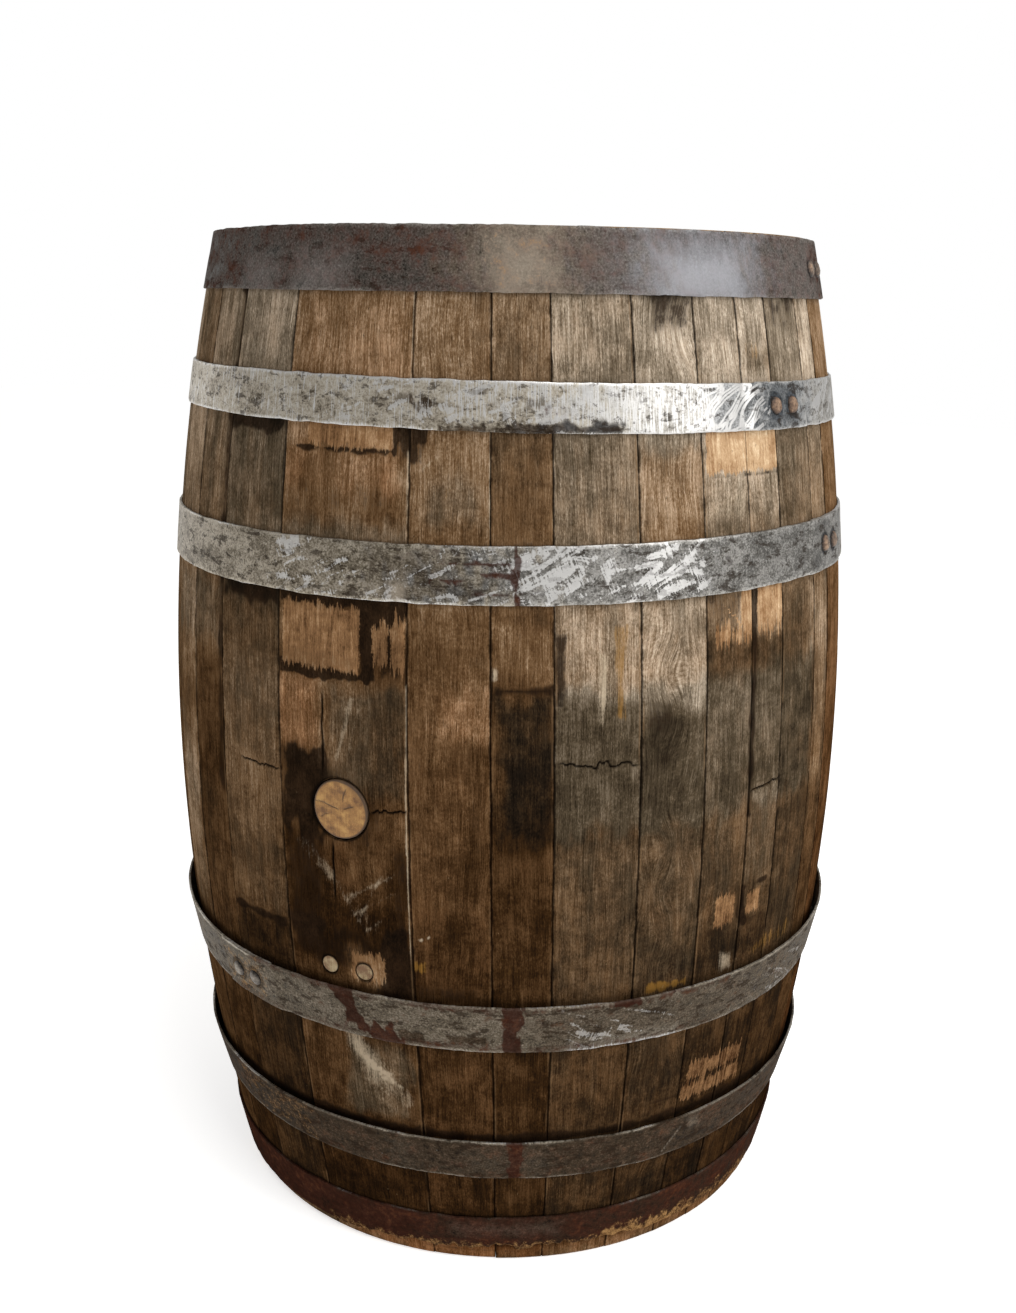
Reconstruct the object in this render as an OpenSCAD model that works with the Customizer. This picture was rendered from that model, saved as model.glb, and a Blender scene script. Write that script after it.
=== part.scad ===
// Oak whiskey barrel: bent staves, two doweled heads set in croze grooves,
// six riveted steel hoops, a tapered bung and two wooden sample pegs.
// Millimetres, +Z up, origin at the bottom centre, bung facing -Y.

/* [Barrel] */
// Height over the stave ends
barrel_h = 914; // [860:1:970]
// Outside diameter at the bilge, halfway up
bilge_d = 660; // [620:1:700]
// Outside diameter at the stave ends
end_d = 554; // [530:1:580]

/* [Staves] */
// Stave thickness
stave_t = 27; // [23:0.5:32]
// Width of the bung stave at the bilge
bung_stave_w = 123; // [100:1:150]
// Thickness left at the very end of a stave by the chime bevel
chime_t = 15; // [10:0.5:20]
// Height of the chime bevel
chime_h = 20; // [12:1:26]

/* [Heads] */
// Depth of a head below the stave ends
head_recess = 30; // [26:1:45]
// Thickness of a head
head_t = 24; // [20:0.5:30]
// Thickness of a head at its rim
rim_t = 6; // [4:0.5:10]
// Width of the rim bevel
rim_bevel = 26; // [20:1:36]
// Depth of the croze groove in the staves
croze_depth = 6; // [4:0.5:9]
// Gap between the rim and the bottom of the croze groove
croze_gap = 0.4; // [0.2:0.1:1]
// Play of the rim between the sides of the croze groove
croze_fit = 0.1; // [0.05:0.05:0.4]

/* [Head dowels] */
// Dowel diameter
dowel_d = 10; // [8:0.5:13]
// Dowel length
dowel_l = 50; // [36:1:56]
// Distance between the two dowels of a joint
dowel_pitch = 220; // [160:1:240]
// Play around a dowel
dowel_fit = 0.1; // [0.05:0.05:0.3]

/* [Hoop strip] */
// Thickness of the hoop strip
hoop_t = 1.8; // [1.2:0.1:3]
// Length of the lap where the two ends of a strip are riveted
lap_l = 72; // [60:1:110]
// Gap between a hoop and the staves
hoop_fit = 0.15; // [0.1:0.05:0.5]

/* [Hoop widths] */
// Width of the top chime hoop
top_chime_w = 50; // [40:1:56]
// Width of the top quarter hoop
top_quarter_w = 38; // [30:1:50]
// Width of the top bilge hoop
top_bilge_w = 46; // [36:1:56]
// Width of the bottom bilge hoop
bottom_bilge_w = 47; // [36:1:56]
// Width of the bottom quarter hoop
bottom_quarter_w = 43; // [30:1:50]
// Width of the bottom chime hoop
bottom_chime_w = 43; // [36:1:56]

/* [Hoop places] */
// Top chime hoop, from the top end of the staves to its nearer edge
top_chime_in = 0; // [0:0.5:8]
// Top quarter hoop, from the top end of the staves to its nearer edge
top_quarter_in = 115; // [90:1:140]
// Top bilge hoop, from the top end of the staves to its nearer edge
top_bilge_in = 239; // [200:1:260]
// Bottom bilge hoop, from the bottom end of the staves to its nearer edge
bottom_bilge_in = 239; // [200:1:260]
// Bottom quarter hoop, from the bottom end of the staves to its nearer edge
bottom_quarter_in = 102; // [90:1:140]
// Bottom chime hoop, from the bottom end of the staves to its nearer edge
bottom_chime_in = 10; // [4:0.5:16]
// How far the upper edge of the bottom bilge hoop stands off the staves
bottom_bilge_slack = 5; // [0:0.5:8]
// How far the upper edge of the bottom quarter hoop stands off the staves
bottom_quarter_slack = 4; // [0:0.5:8]

/* [Hoop laps] */
// Turn from the bung to the lap of the top chime hoop, degrees
top_chime_lap = 91; // [-180:1:180]
// Turn from the bung to the lap of the top quarter hoop, degrees
top_quarter_lap = 72; // [-180:1:180]
// Turn from the bung to the lap of the top bilge hoop, degrees
top_bilge_lap = 86; // [-180:1:180]
// Turn from the bung to the lap of the bottom bilge hoop, degrees
bottom_bilge_lap = -21; // [-180:1:180]
// Turn from the bung to the lap of the bottom quarter hoop, degrees
bottom_quarter_lap = 148; // [-180:1:180]
// Turn from the bung to the lap of the bottom chime hoop, degrees
bottom_chime_lap = -132; // [-180:1:180]

/* [Rivets] */
// Diameter of a rivet's shank
rivet_d = 7; // [5:0.5:9]
// Diameter of a rivet's head
rivet_head_d = 14.5; // [12:0.5:18]
// Height of a rivet's head
rivet_head_h = 4; // [2.5:0.5:6]
// Distance between the two rivets of a lap
rivet_pitch = 25; // [20:1:36]
// Play around a rivet's shank
rivet_fit = 0.1; // [0.05:0.05:0.3]

/* [Bung] */
// Diameter of the bung at the face of the stave
bung_d = 52; // [44:0.5:60]
// Length of the bung
bung_l = 38; // [34:1:50]
// How much narrower the bung is at its inner end
bung_taper = 5; // [3:0.5:8]
// Height of the bung's centre above the bottom
bung_z = 450; // [400:1:500]
// Play around the bung
bung_fit = 0.3; // [0.2:0.05:0.6]

/* [Sample pegs] */
// Diameter of a sample peg
peg_d = 15.5; // [12:0.5:20]
// Length of a sample peg
peg_l = 34; // [33:1:50]
// Distance between the two pegs
peg_pitch = 34; // [26:1:50]
// Height of the pegs above the bottom bilge hoop
peg_up = 17; // [12:1:60]
// Play around a peg
peg_fit = 0.1; // [0.05:0.05:0.3]

/* [Hidden] */
$fn = 96;

// Radii of the bent stave: a parabola from the bilge to the ends
bilge_r = bilge_d / 2;
bulge = (bilge_d - end_d) / 2;
bend_steps = 16;
function out_r(z) = bilge_r - bulge * pow(2 * z / barrel_h - 1, 2);
function out_slope(z) = -4 * bulge * (2 * z / barrel_h - 1) / barrel_h;
function in_r(z) = out_r(z) - stave_t;

// Head rim and the croze groove that holds it, at a height above the stave end
rim_z = head_recess + head_t / 2;
rim_r = in_r(rim_z) + croze_depth - croze_gap;
rim_taper = (head_t - rim_t) / 2 / rim_bevel;
function rim_half(r) = rim_t / 2 + rim_taper * (rim_r - r);
function croze_half(r) = rim_half(r) + croze_fit;
croze_r = rim_r + croze_gap;
mouth_low_r = in_r(rim_z - croze_half(in_r(rim_z)));
mouth_high_r = in_r(rim_z + croze_half(in_r(rim_z)));

// Inner outline of one stave end, from the end face up past the croze groove
end_outline = [
    [out_r(0) - chime_t, 0],
    [in_r(chime_h), chime_h],
    [mouth_low_r, rim_z - croze_half(mouth_low_r)],
    [croze_r, rim_z - croze_half(rim_r)],
    [croze_r, rim_z + croze_half(rim_r)],
    [mouth_high_r, rim_z + croze_half(mouth_high_r)],
];
clear_z = rim_z + croze_half(mouth_high_r);
bend_h = barrel_h - 2 * clear_z;

// Outline of a whole stave: outer bend going up, inner side coming down
function outer_bend() = [for (k = [0:bend_steps]) let (z = barrel_h * k / bend_steps) [out_r(z), z]];
function inner_bend() = [
    for (k = [bend_steps - 1:-1:1]) let (z = clear_z + bend_h * k / bend_steps) [in_r(z), z]
];
last_end = len(end_outline) - 1;
stave_outline = concat(
    outer_bend(),
    [for (p = end_outline) [p[0], barrel_h - p[1]]],
    inner_bend(),
    [for (k = [last_end:-1:0]) end_outline[k]]
);

// Stave widths at the bilge, going round to the right of the bung stave
stave_widths = [
    68, 51, 73, 62, 51, 42, 60, 36, 72, 58, 84, 66, 52, 76, 62,
    88, 56, 70, 64, 80, 54, 74, 60, 86, 68, 58, 78, 64, 59, 78,
];
stave_count = len(stave_widths);
function sum(list, n) = n == 0 ? 0 : list[n - 1] + sum(list, n - 1);
bung_stave_turn = 360 * bung_stave_w / (PI * bilge_d);
turn_per_mm = (360 - bung_stave_turn) / sum(stave_widths, stave_count);
function stave_start(n) = bung_stave_turn / 2 + turn_per_mm * sum(stave_widths, n);

// Head boards: their widths across the head, shared out over its diameter
board_widths = [70, 98, 88, 104, 92, 84];
board_count = len(board_widths);
board_scale = 2 * rim_r / sum(board_widths, board_count);
function board_edge(n) = board_scale * sum(board_widths, n) - rim_r;
head_outline = [
    [0, 0],
    [rim_r - rim_bevel, 0],
    [rim_r, head_t / 2 - rim_t / 2],
    [rim_r, head_t / 2 + rim_t / 2],
    [rim_r - rim_bevel, head_t],
    [0, head_t],
];

// Hoops: name, lower edge, width, lap, and how far the upper edge stands off
HOOPS = [
    ["top_chime_hoop", barrel_h - top_chime_in - top_chime_w, top_chime_w, top_chime_lap, 0],
    ["top_quarter_hoop", barrel_h - top_quarter_in - top_quarter_w, top_quarter_w, top_quarter_lap, 0],
    ["top_bilge_hoop", barrel_h - top_bilge_in - top_bilge_w, top_bilge_w, top_bilge_lap, 0],
    ["bottom_bilge_hoop", bottom_bilge_in, bottom_bilge_w, bottom_bilge_lap, bottom_bilge_slack],
    ["bottom_quarter_hoop", bottom_quarter_in, bottom_quarter_w, bottom_quarter_lap, bottom_quarter_slack],
    ["bottom_chime_hoop", bottom_chime_in, bottom_chime_w, bottom_chime_lap, 0],
];
function hoop_name(h) = h[0];
function hoop_low(h) = h[1];
function hoop_w(h) = h[2];
function hoop_lap(h) = h[3];
function hoop_slack(h) = h[4];
function hoop_high(h) = hoop_low(h) + hoop_w(h);
function hoop_mid(h) = hoop_low(h) + hoop_w(h) / 2;
// Inner radii at the two edges, on the cone that touches the bent staves halfway up the hoop
function hoop_touch_r(h) = out_r(hoop_mid(h)) + hoop_fit;
function hoop_rise(h) = out_slope(hoop_mid(h)) * hoop_w(h) / 2;
function hoop_low_r(h) = hoop_touch_r(h) - hoop_rise(h);
function hoop_high_r(h) = hoop_touch_r(h) + hoop_rise(h) + hoop_slack(h);
function hoop_mid_r(h) = (hoop_low_r(h) + hoop_high_r(h)) / 2;
function hoop_lean(h) = atan2(hoop_high_r(h) - hoop_low_r(h), hoop_w(h));
// Turns that a lap and a rivet pitch take up on a hoop
function lap_turn(h) = lap_l / hoop_mid_r(h) * 180 / PI;
function rivet_turn(h) = rivet_pitch / hoop_mid_r(h) * 180 / PI;
rivet_cap_r = (pow(rivet_head_d / 2, 2) + pow(rivet_head_h, 2)) / (2 * rivet_head_h);

// Pegs: height, and turn to either side of the middle of the bung stave
peg_z = bottom_bilge_in + bottom_bilge_w + peg_up;
peg_turn = peg_pitch / 2 / out_r(peg_z) * 180 / PI;
bung_slope = bung_taper / 2 / bung_l;
drill_over = 10;

// Names of the nodes
function two_digits(n) = str(n < 10 ? "0" : "", n);
function stave_name(n) = str("stave_", two_digits(n));
function board_name(end, n) = str(end, "_head_board_", n);

// A shape drawn along +X, turned so that 0 degrees is the bung's side
module turned(angle) {
    rotate([0, 0, angle - 90]) children();
}

// A round tool pointing inwards from the face of the stave
module drilled(angle, z) {
    turned(angle) translate([out_r(z), 0, z]) rotate([0, -90, 0]) children();
}

module stave_solid(start, turn) {
    turned(start) rotate_extrude(angle = turn) polygon(stave_outline);
}

module stave(n) {
    color("#6b5236") stave_solid(stave_start(n - 1), turn_per_mm * stave_widths[n - 1]);
}

// Bung, or with play and overrun the hole for it
module bung_cone(play, over) {
    drilled(0, bung_z) translate([0, 0, -over]) cylinder(
        h = bung_l + 2 * over,
        r1 = bung_d / 2 + play + bung_slope * over,
        r2 = bung_d / 2 + play - bung_slope * (bung_l + over)
    );
}

// Pegs, or with play and overrun the holes for them
module peg_rods(play, over) {
    for (side = [-1, 1])
        drilled(side * peg_turn, peg_z) translate([0, 0, -over])
            cylinder(h = peg_l + over, r = peg_d / 2 + play);
}

module bung_stave() {
    color("#6b5236") difference() {
        stave_solid(-bung_stave_turn / 2, bung_stave_turn);
        bung_cone(bung_fit, drill_over);
        peg_rods(peg_fit, drill_over);
    }
}

// The space inside the outer face of the staves, which trims plugs flush
module inside_staves() {
    rotate_extrude() polygon(concat([[0, 0]], outer_bend(), [[0, barrel_h]]));
}

module bung() {
    color("#c09a62") intersection() {
        bung_cone(0, 0);
        inside_staves();
    }
}

module sample_pegs() {
    color("#b5a27f") intersection() {
        peg_rods(0, 0);
        inside_staves();
    }
}

// A head lies flat on z = 0; at the top end it is turned over
module at_end(end) {
    if (end == "bottom") translate([0, 0, head_recess]) children();
    else translate([0, 0, barrel_h - head_recess]) rotate([180, 0, 0]) children();
}

// Dowels of one head, or with play the holes for them
module dowel_rods(play) {
    for (n = [1:board_count - 1])
        for (side = [-1, 1])
            translate([board_edge(n) - dowel_l / 2 - play, side * dowel_pitch / 2, head_t / 2])
                rotate([0, 90, 0]) cylinder(h = dowel_l + 2 * play, r = dowel_d / 2 + play);
}

module head_board(end, n) {
    color("#7a5f40") at_end(end) difference() {
        intersection() {
            rotate_extrude() polygon(head_outline);
            translate([board_edge(n - 1), -bilge_r, 0])
                cube([board_edge(n) - board_edge(n - 1), bilge_d, head_t]);
        }
        dowel_rods(dowel_fit);
    }
}

module head_dowels(end) {
    color("#b08a58") at_end(end) dowel_rods(0);
}

// Section of a hoop strip, from one number of layers above the staves to another
module strip_section(h, from, to) {
    polygon([
        [hoop_low_r(h) + from * hoop_t, hoop_low(h)],
        [hoop_low_r(h) + to * hoop_t, hoop_low(h)],
        [hoop_high_r(h) + to * hoop_t, hoop_high(h)],
        [hoop_high_r(h) + from * hoop_t, hoop_high(h)],
    ]);
}

// The places of a hoop's two rivets, on the inner face and pointing out
module at_rivets(h) {
    for (side = [-1, 1])
        turned(hoop_lap(h) + side * rivet_turn(h) / 2)
            translate([hoop_mid_r(h), 0, hoop_mid(h)])
                rotate([0, 90 + hoop_lean(h), 0]) children();
}

// A strip bent to a ring, with a second layer where its ends lap
module hoop(h) {
    lap = lap_turn(h);
    color("#77736e") difference() {
        union() {
            rotate_extrude() strip_section(h, 0, 1);
            turned(hoop_lap(h) - lap / 2) rotate_extrude(angle = lap) strip_section(h, 0.5, 2);
        }
        at_rivets(h) translate([0, 0, -hoop_t])
            cylinder(h = 4 * hoop_t, r = rivet_d / 2 + rivet_fit);
    }
}

// A shank through both layers and a domed head on top of them
module rivet(lap_t) {
    cylinder(h = lap_t, r = rivet_d / 2);
    translate([0, 0, lap_t]) intersection() {
        translate([0, 0, rivet_head_h - rivet_cap_r]) sphere(r = rivet_cap_r);
        cylinder(h = rivet_head_h, r = rivet_head_d / 2);
    }
}

module hoop_rivets() {
    color("#6e5648") for (h = HOOPS) at_rivets(h) rivet(2 * hoop_t * cos(hoop_lean(h)));
}

bung_stave();
for (n = [1:stave_count]) stave(n);
for (end = ["bottom", "top"]) for (n = [1:board_count])
    head_board(end, n);
head_dowels("bottom");  // bottom_head_dowels
head_dowels("top");  // top_head_dowels
for (h = HOOPS) hoop(h);
hoop_rivets();
bung();
sample_pegs();
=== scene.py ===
"""Looks of the oak whiskey barrel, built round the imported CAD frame.

Lengths are in millimetres and turns in degrees from the bung, positive to the right as seen
from outside, until a mesh is written in metres.
"""

import bpy
import numpy as np
from mathutils import Matrix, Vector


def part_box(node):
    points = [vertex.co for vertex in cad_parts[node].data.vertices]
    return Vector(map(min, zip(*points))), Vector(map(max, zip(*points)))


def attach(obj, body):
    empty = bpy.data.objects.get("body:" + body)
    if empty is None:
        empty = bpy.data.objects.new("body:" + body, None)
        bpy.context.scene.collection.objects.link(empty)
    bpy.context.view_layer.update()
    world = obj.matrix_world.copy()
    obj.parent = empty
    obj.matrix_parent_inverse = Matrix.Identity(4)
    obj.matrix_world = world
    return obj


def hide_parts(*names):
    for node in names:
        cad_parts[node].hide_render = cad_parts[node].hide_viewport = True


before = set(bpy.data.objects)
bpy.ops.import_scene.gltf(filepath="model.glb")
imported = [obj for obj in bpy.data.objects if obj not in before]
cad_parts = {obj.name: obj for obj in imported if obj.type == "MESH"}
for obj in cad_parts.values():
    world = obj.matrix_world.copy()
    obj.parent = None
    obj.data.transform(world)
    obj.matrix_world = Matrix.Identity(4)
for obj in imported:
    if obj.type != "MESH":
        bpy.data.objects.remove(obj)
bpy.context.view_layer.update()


# Staves: planks of white oak, tapered, steamed and bent so that they close into a barrel.
# Only the hoops hold them. Each end has a chime bevel and a croze groove for the head, and
# the inside is charred. Handling has stained, scraped and cracked the outside.
barrel_h = 914
bilge_r = 330
bulge = 53
stave_t = 27
chime_t = 15
chime_h = 20
croze_z = 42
croze_depth = 6
croze_mouth = 5
croze_floor = 3.1
stave_twist = 2.2
joint_gap = 0.4
hole_chamfer = 0.8
face_step = 2.2
row_step = 3
crack_step = 0.8
arc_mm = bilge_r * np.pi / 180

# Stand-ins where there is no scraped patch to be inside of and no joint to be away from
unscraped_mm = -40.0
jointless_mm = 20


def outer_radius(z):
    """Radius of the bent staves' outside: a parabola from the bilge to the ends."""
    return bilge_r - bulge * (2 * z / barrel_h - 1) ** 2


def outer_slope(z):
    """Change of the outside radius for each mm of height, from the same parabola."""
    return -4 * bulge * (2 * z / barrel_h - 1) / barrel_h


def inner_radius(z):
    """Outside less the thickness, which the bevel thins at an end and the croze cuts into."""
    end = np.minimum(z, barrel_h - z)
    thickness = np.interp(end, [0, chime_h], [chime_t, stave_t])
    croze = np.interp(np.abs(end - croze_z), [croze_floor, croze_mouth], [croze_depth, 0])
    return outer_radius(z) - thickness + croze


def twist(z):
    """How many degrees a stave's twist turns it at a height, none halfway up."""
    return stave_twist * (0.5 - z / barrel_h)


def lattice(i, j, seed):
    """A fixed value from -1 to 1 for each whole-numbered point, by mixing its bits."""
    mixed = (i * 374761393 + j * 668265263 + seed * 974634377) & 0xFFFFFFFF
    mixed = ((mixed ^ (mixed >> 13)) * 1274126177) & 0xFFFFFFFF
    return ((mixed ^ (mixed >> 16)) & 0xFFFF) / 32767.5 - 1


def waves(x, y, seed):
    """Smooth noise from -1 to 1: lattice values blended by smoothstep in both directions."""
    x, y = np.broadcast_arrays(np.asarray(x, float), np.asarray(y, float))
    i, j = np.floor(x), np.floor(y)
    u, v = x - i, y - j
    u, v = u * u * (3 - 2 * u), v * v * (3 - 2 * v)
    i, j = i.astype(np.int64), j.astype(np.int64)
    low = lattice(i, j, seed) * (1 - u) + lattice(i + 1, j, seed) * u
    high = lattice(i, j + 1, seed) * (1 - u) + lattice(i + 1, j + 1, seed) * u
    return low * (1 - v) + high * v


def ease(x, low, high):
    """Smoothstep: 0 up to low, 1 from high on, and an S curve between."""
    t = np.clip((x - low) / (high - low), 0, 1)
    return t * t * (3 - 2 * t)


def steps(x, seed):
    """A line from -1 to 1 of short level runs: lattice values joined by steep slopes."""
    i = np.floor(x)
    share = ease(x - i, 0.36, 0.64)
    i = i.astype(np.int64)
    return lattice(i, 0, seed) * (1 - share) + lattice(i + 1, 0, seed) * share


def rounding(edge, radius):
    """How far a rounded edge falls away: a quarter circle over the radius next to the edge."""
    short = np.clip(radius - edge, 0, radius)
    return radius - np.sqrt(radius**2 - short**2)


def spot(turn, radius, z):
    """The point at a turn from the bung, a radius and a height."""
    angle = np.radians(turn)
    return np.stack(np.broadcast_arrays(radius * np.sin(angle), -radius * np.cos(angle), z), -1)


def tube(rows, loop, start=0):
    """Quads of a closed loop of points repeated in rows, and a cap over the first and the
    last loop. The points are numbered row by row from the start."""
    i, j = np.meshgrid(np.arange(rows - 1), np.arange(loop), indexing="ij")
    right = (j + 1) % loop
    quads = np.stack([i * loop + j, i * loop + right, (i + 1) * loop + right, (i + 1) * loop + j], -1)
    ring = np.arange(loop)
    return start + quads, [start + ring[::-1], start + (rows - 1) * loop + ring]


def add_piece(name, points, quads, caps, uv, fields, material, smooth=35):
    """Makes a mesh object from points in mm, quads, many-sided caps, a UV for each point in
    metres, and named vectors for each point."""
    mesh = bpy.data.meshes.new(name)
    quads = quads.reshape(-1, 4)
    corners = np.concatenate([quads.ravel(), *caps]).astype(np.int32)
    sizes = np.concatenate([np.full(len(quads), 4), [len(cap) for cap in caps]]).astype(np.int32)
    mesh.vertices.add(len(points))
    mesh.vertices.foreach_set("co", (points / 1000).astype(np.float32).ravel())
    mesh.loops.add(len(corners))
    mesh.loops.foreach_set("vertex_index", corners)
    mesh.polygons.add(len(sizes))
    mesh.polygons.foreach_set("loop_start", (np.cumsum(sizes) - sizes).astype(np.int32))
    mesh.update(calc_edges=True)
    mesh.uv_layers.new(name="grain").data.foreach_set("uv", uv[corners].astype(np.float32).ravel())
    for field, values in fields.items():
        layer = mesh.attributes.new(field, "FLOAT_VECTOR", "POINT")
        layer.data.foreach_set("vector", values.astype(np.float32).ravel())
    mesh.polygons.foreach_set("use_smooth", np.ones(len(sizes), bool))
    mesh.set_sharp_from_angle(angle=np.radians(smooth))
    mesh.materials.append(material)
    piece = bpy.data.objects.new(name, mesh)
    bpy.context.scene.collection.objects.link(piece)
    return piece


def paint(code):
    """A colour written as a hex code, as the linear values that shaders use."""
    parts = np.array([int(code[k : k + 2], 16) for k in (1, 3, 5)]) / 255
    linear = np.where(parts > 0.04045, ((parts + 0.055) / 1.055) ** 2.4, parts / 12.92)
    return (*linear.tolist(), 1.0)


class Shade:
    """A value, colour or vector in a material. Arithmetic on values adds Math nodes."""

    def __init__(self, tree, socket=None):
        self.tree = tree
        self.socket = socket

    def node(self, kind, settings, sockets, out=0):
        """Adds a node of a type: its settings are set first, then its sockets get their
        values, colours as hex codes, or links."""
        made = self.tree.nodes.new("ShaderNode" + kind)
        for key, value in settings.items():
            if key == "stops":
                while len(made.color_ramp.elements) < len(value):
                    made.color_ramp.elements.new(0.5)
                for element, (place, code) in zip(made.color_ramp.elements, value):
                    element.position = place
                    element.color = paint(code)
            else:
                setattr(made, key, value)
        for key, value in sockets.items():
            if isinstance(value, Shade):
                self.tree.links.new(value.socket, made.inputs[key])
            else:
                made.inputs[key].default_value = paint(value) if isinstance(value, str) else value
        return Shade(self.tree, made.outputs[out] if made.outputs else None)

    def maths(self, operation, first, second):
        return self.node("Math", {"operation": operation}, {0: first, 1: second})

    def __add__(self, other):
        return self.maths("ADD", self, other)

    def __radd__(self, other):
        return self.maths("ADD", other, self)

    def __sub__(self, other):
        return self.maths("SUBTRACT", self, other)

    def __rsub__(self, other):
        return self.maths("SUBTRACT", other, self)

    def __mul__(self, other):
        return self.maths("MULTIPLY", self, other)

    def __rmul__(self, other):
        return self.maths("MULTIPLY", other, self)

    def least(self, other):
        """The smaller of two values."""
        return self.maths("MINIMUM", self, other)

    def most(self, other):
        """The larger of two values."""
        return self.maths("MAXIMUM", self, other)

    def ease(self, low, high):
        """Smoothstep from 0 at low to 1 at high."""
        sockets = {"Value": self, "From Min": low, "From Max": high}
        return self.node("MapRange", {"interpolation_type": "SMOOTHSTEP"}, sockets)

    def mix(self, first, second):
        """This value as the share of the second colour over the first."""
        return self.node("Mix", {"data_type": "RGBA"}, {0: self, 6: first, 7: second}, 2)

    def ramp(self, places, *codes):
        """This value through a row of colours at their places."""
        return self.node("ValToRGB", {"stops": list(zip(places, codes))}, {0: self})

    def scaled(self, x, y, z=1):
        """This vector stretched along each axis."""
        return self.node("VectorMath", {"operation": "MULTIPLY"}, {0: self, 1: (x, y, z)})

    def noise(self, x, y, z=1, detail=3, rough=0.55, warp=0):
        """Noise about zero, mostly from -0.25 to 0.25, with x, y and z cells to a metre."""
        sockets = {"Vector": self.scaled(x, y, z), "Scale": 1, "Detail": detail}
        sockets.update({"Roughness": rough, "Distortion": warp})
        return self.node("TexNoise", {}, sockets) - 0.5

    def turned(self, angle):
        """This vector turned in its own plane, so that a line at the angle lies level."""
        sockets = {"Vector": self, "Angle": -np.radians(angle)}
        return self.node("VectorRotate", {"rotation_type": "Z_AXIS"}, sockets)

    def field(self, name):
        """The three values of a named vector of the mesh."""
        vector = self.node("Attribute", {"attribute_name": name}, {}, "Vector")
        return [self.node("SeparateXYZ", {}, {0: vector}, axis) for axis in "XYZ"]

    def grain(self):
        """The UV map that follows the grain, in metres."""
        return self.node("UVMap", {"uv_map": "grain"}, {}, "UV")

    def place(self):
        """The point in the barrel's own frame, in metres."""
        return self.node("TexCoord", {}, {}, "Object")

    def facing_up(self):
        """How level the surface lies: 1 on a flat top or bottom, 0 on an upright side."""
        normal = self.node("NewGeometry", {}, {}, "Normal")
        upright = self.node("SeparateXYZ", {}, {0: normal}, "Z")
        return (upright * upright).ease(0.45, 0.8)

    def bump(self, height_mm, strength=1.0):
        """The normal of a surface raised by a height in mm."""
        sockets = {"Height": height_mm, "Distance": 0.001, "Strength": strength}
        return self.node("Bump", {}, sockets)


def new_material(name):
    """An empty node material, as a Shade to add its nodes with."""
    material = bpy.data.materials.new(name)
    material.use_nodes = True
    material.node_tree.nodes.clear()
    return material, Shade(material.node_tree)


def finish_material(shade, sockets):
    """Feeds a Principled shader with values or links and joins it to the output."""
    surface = shade.node("BsdfPrincipled", {}, sockets)
    shade.node("OutputMaterial", {}, {"Surface": surface})


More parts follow.
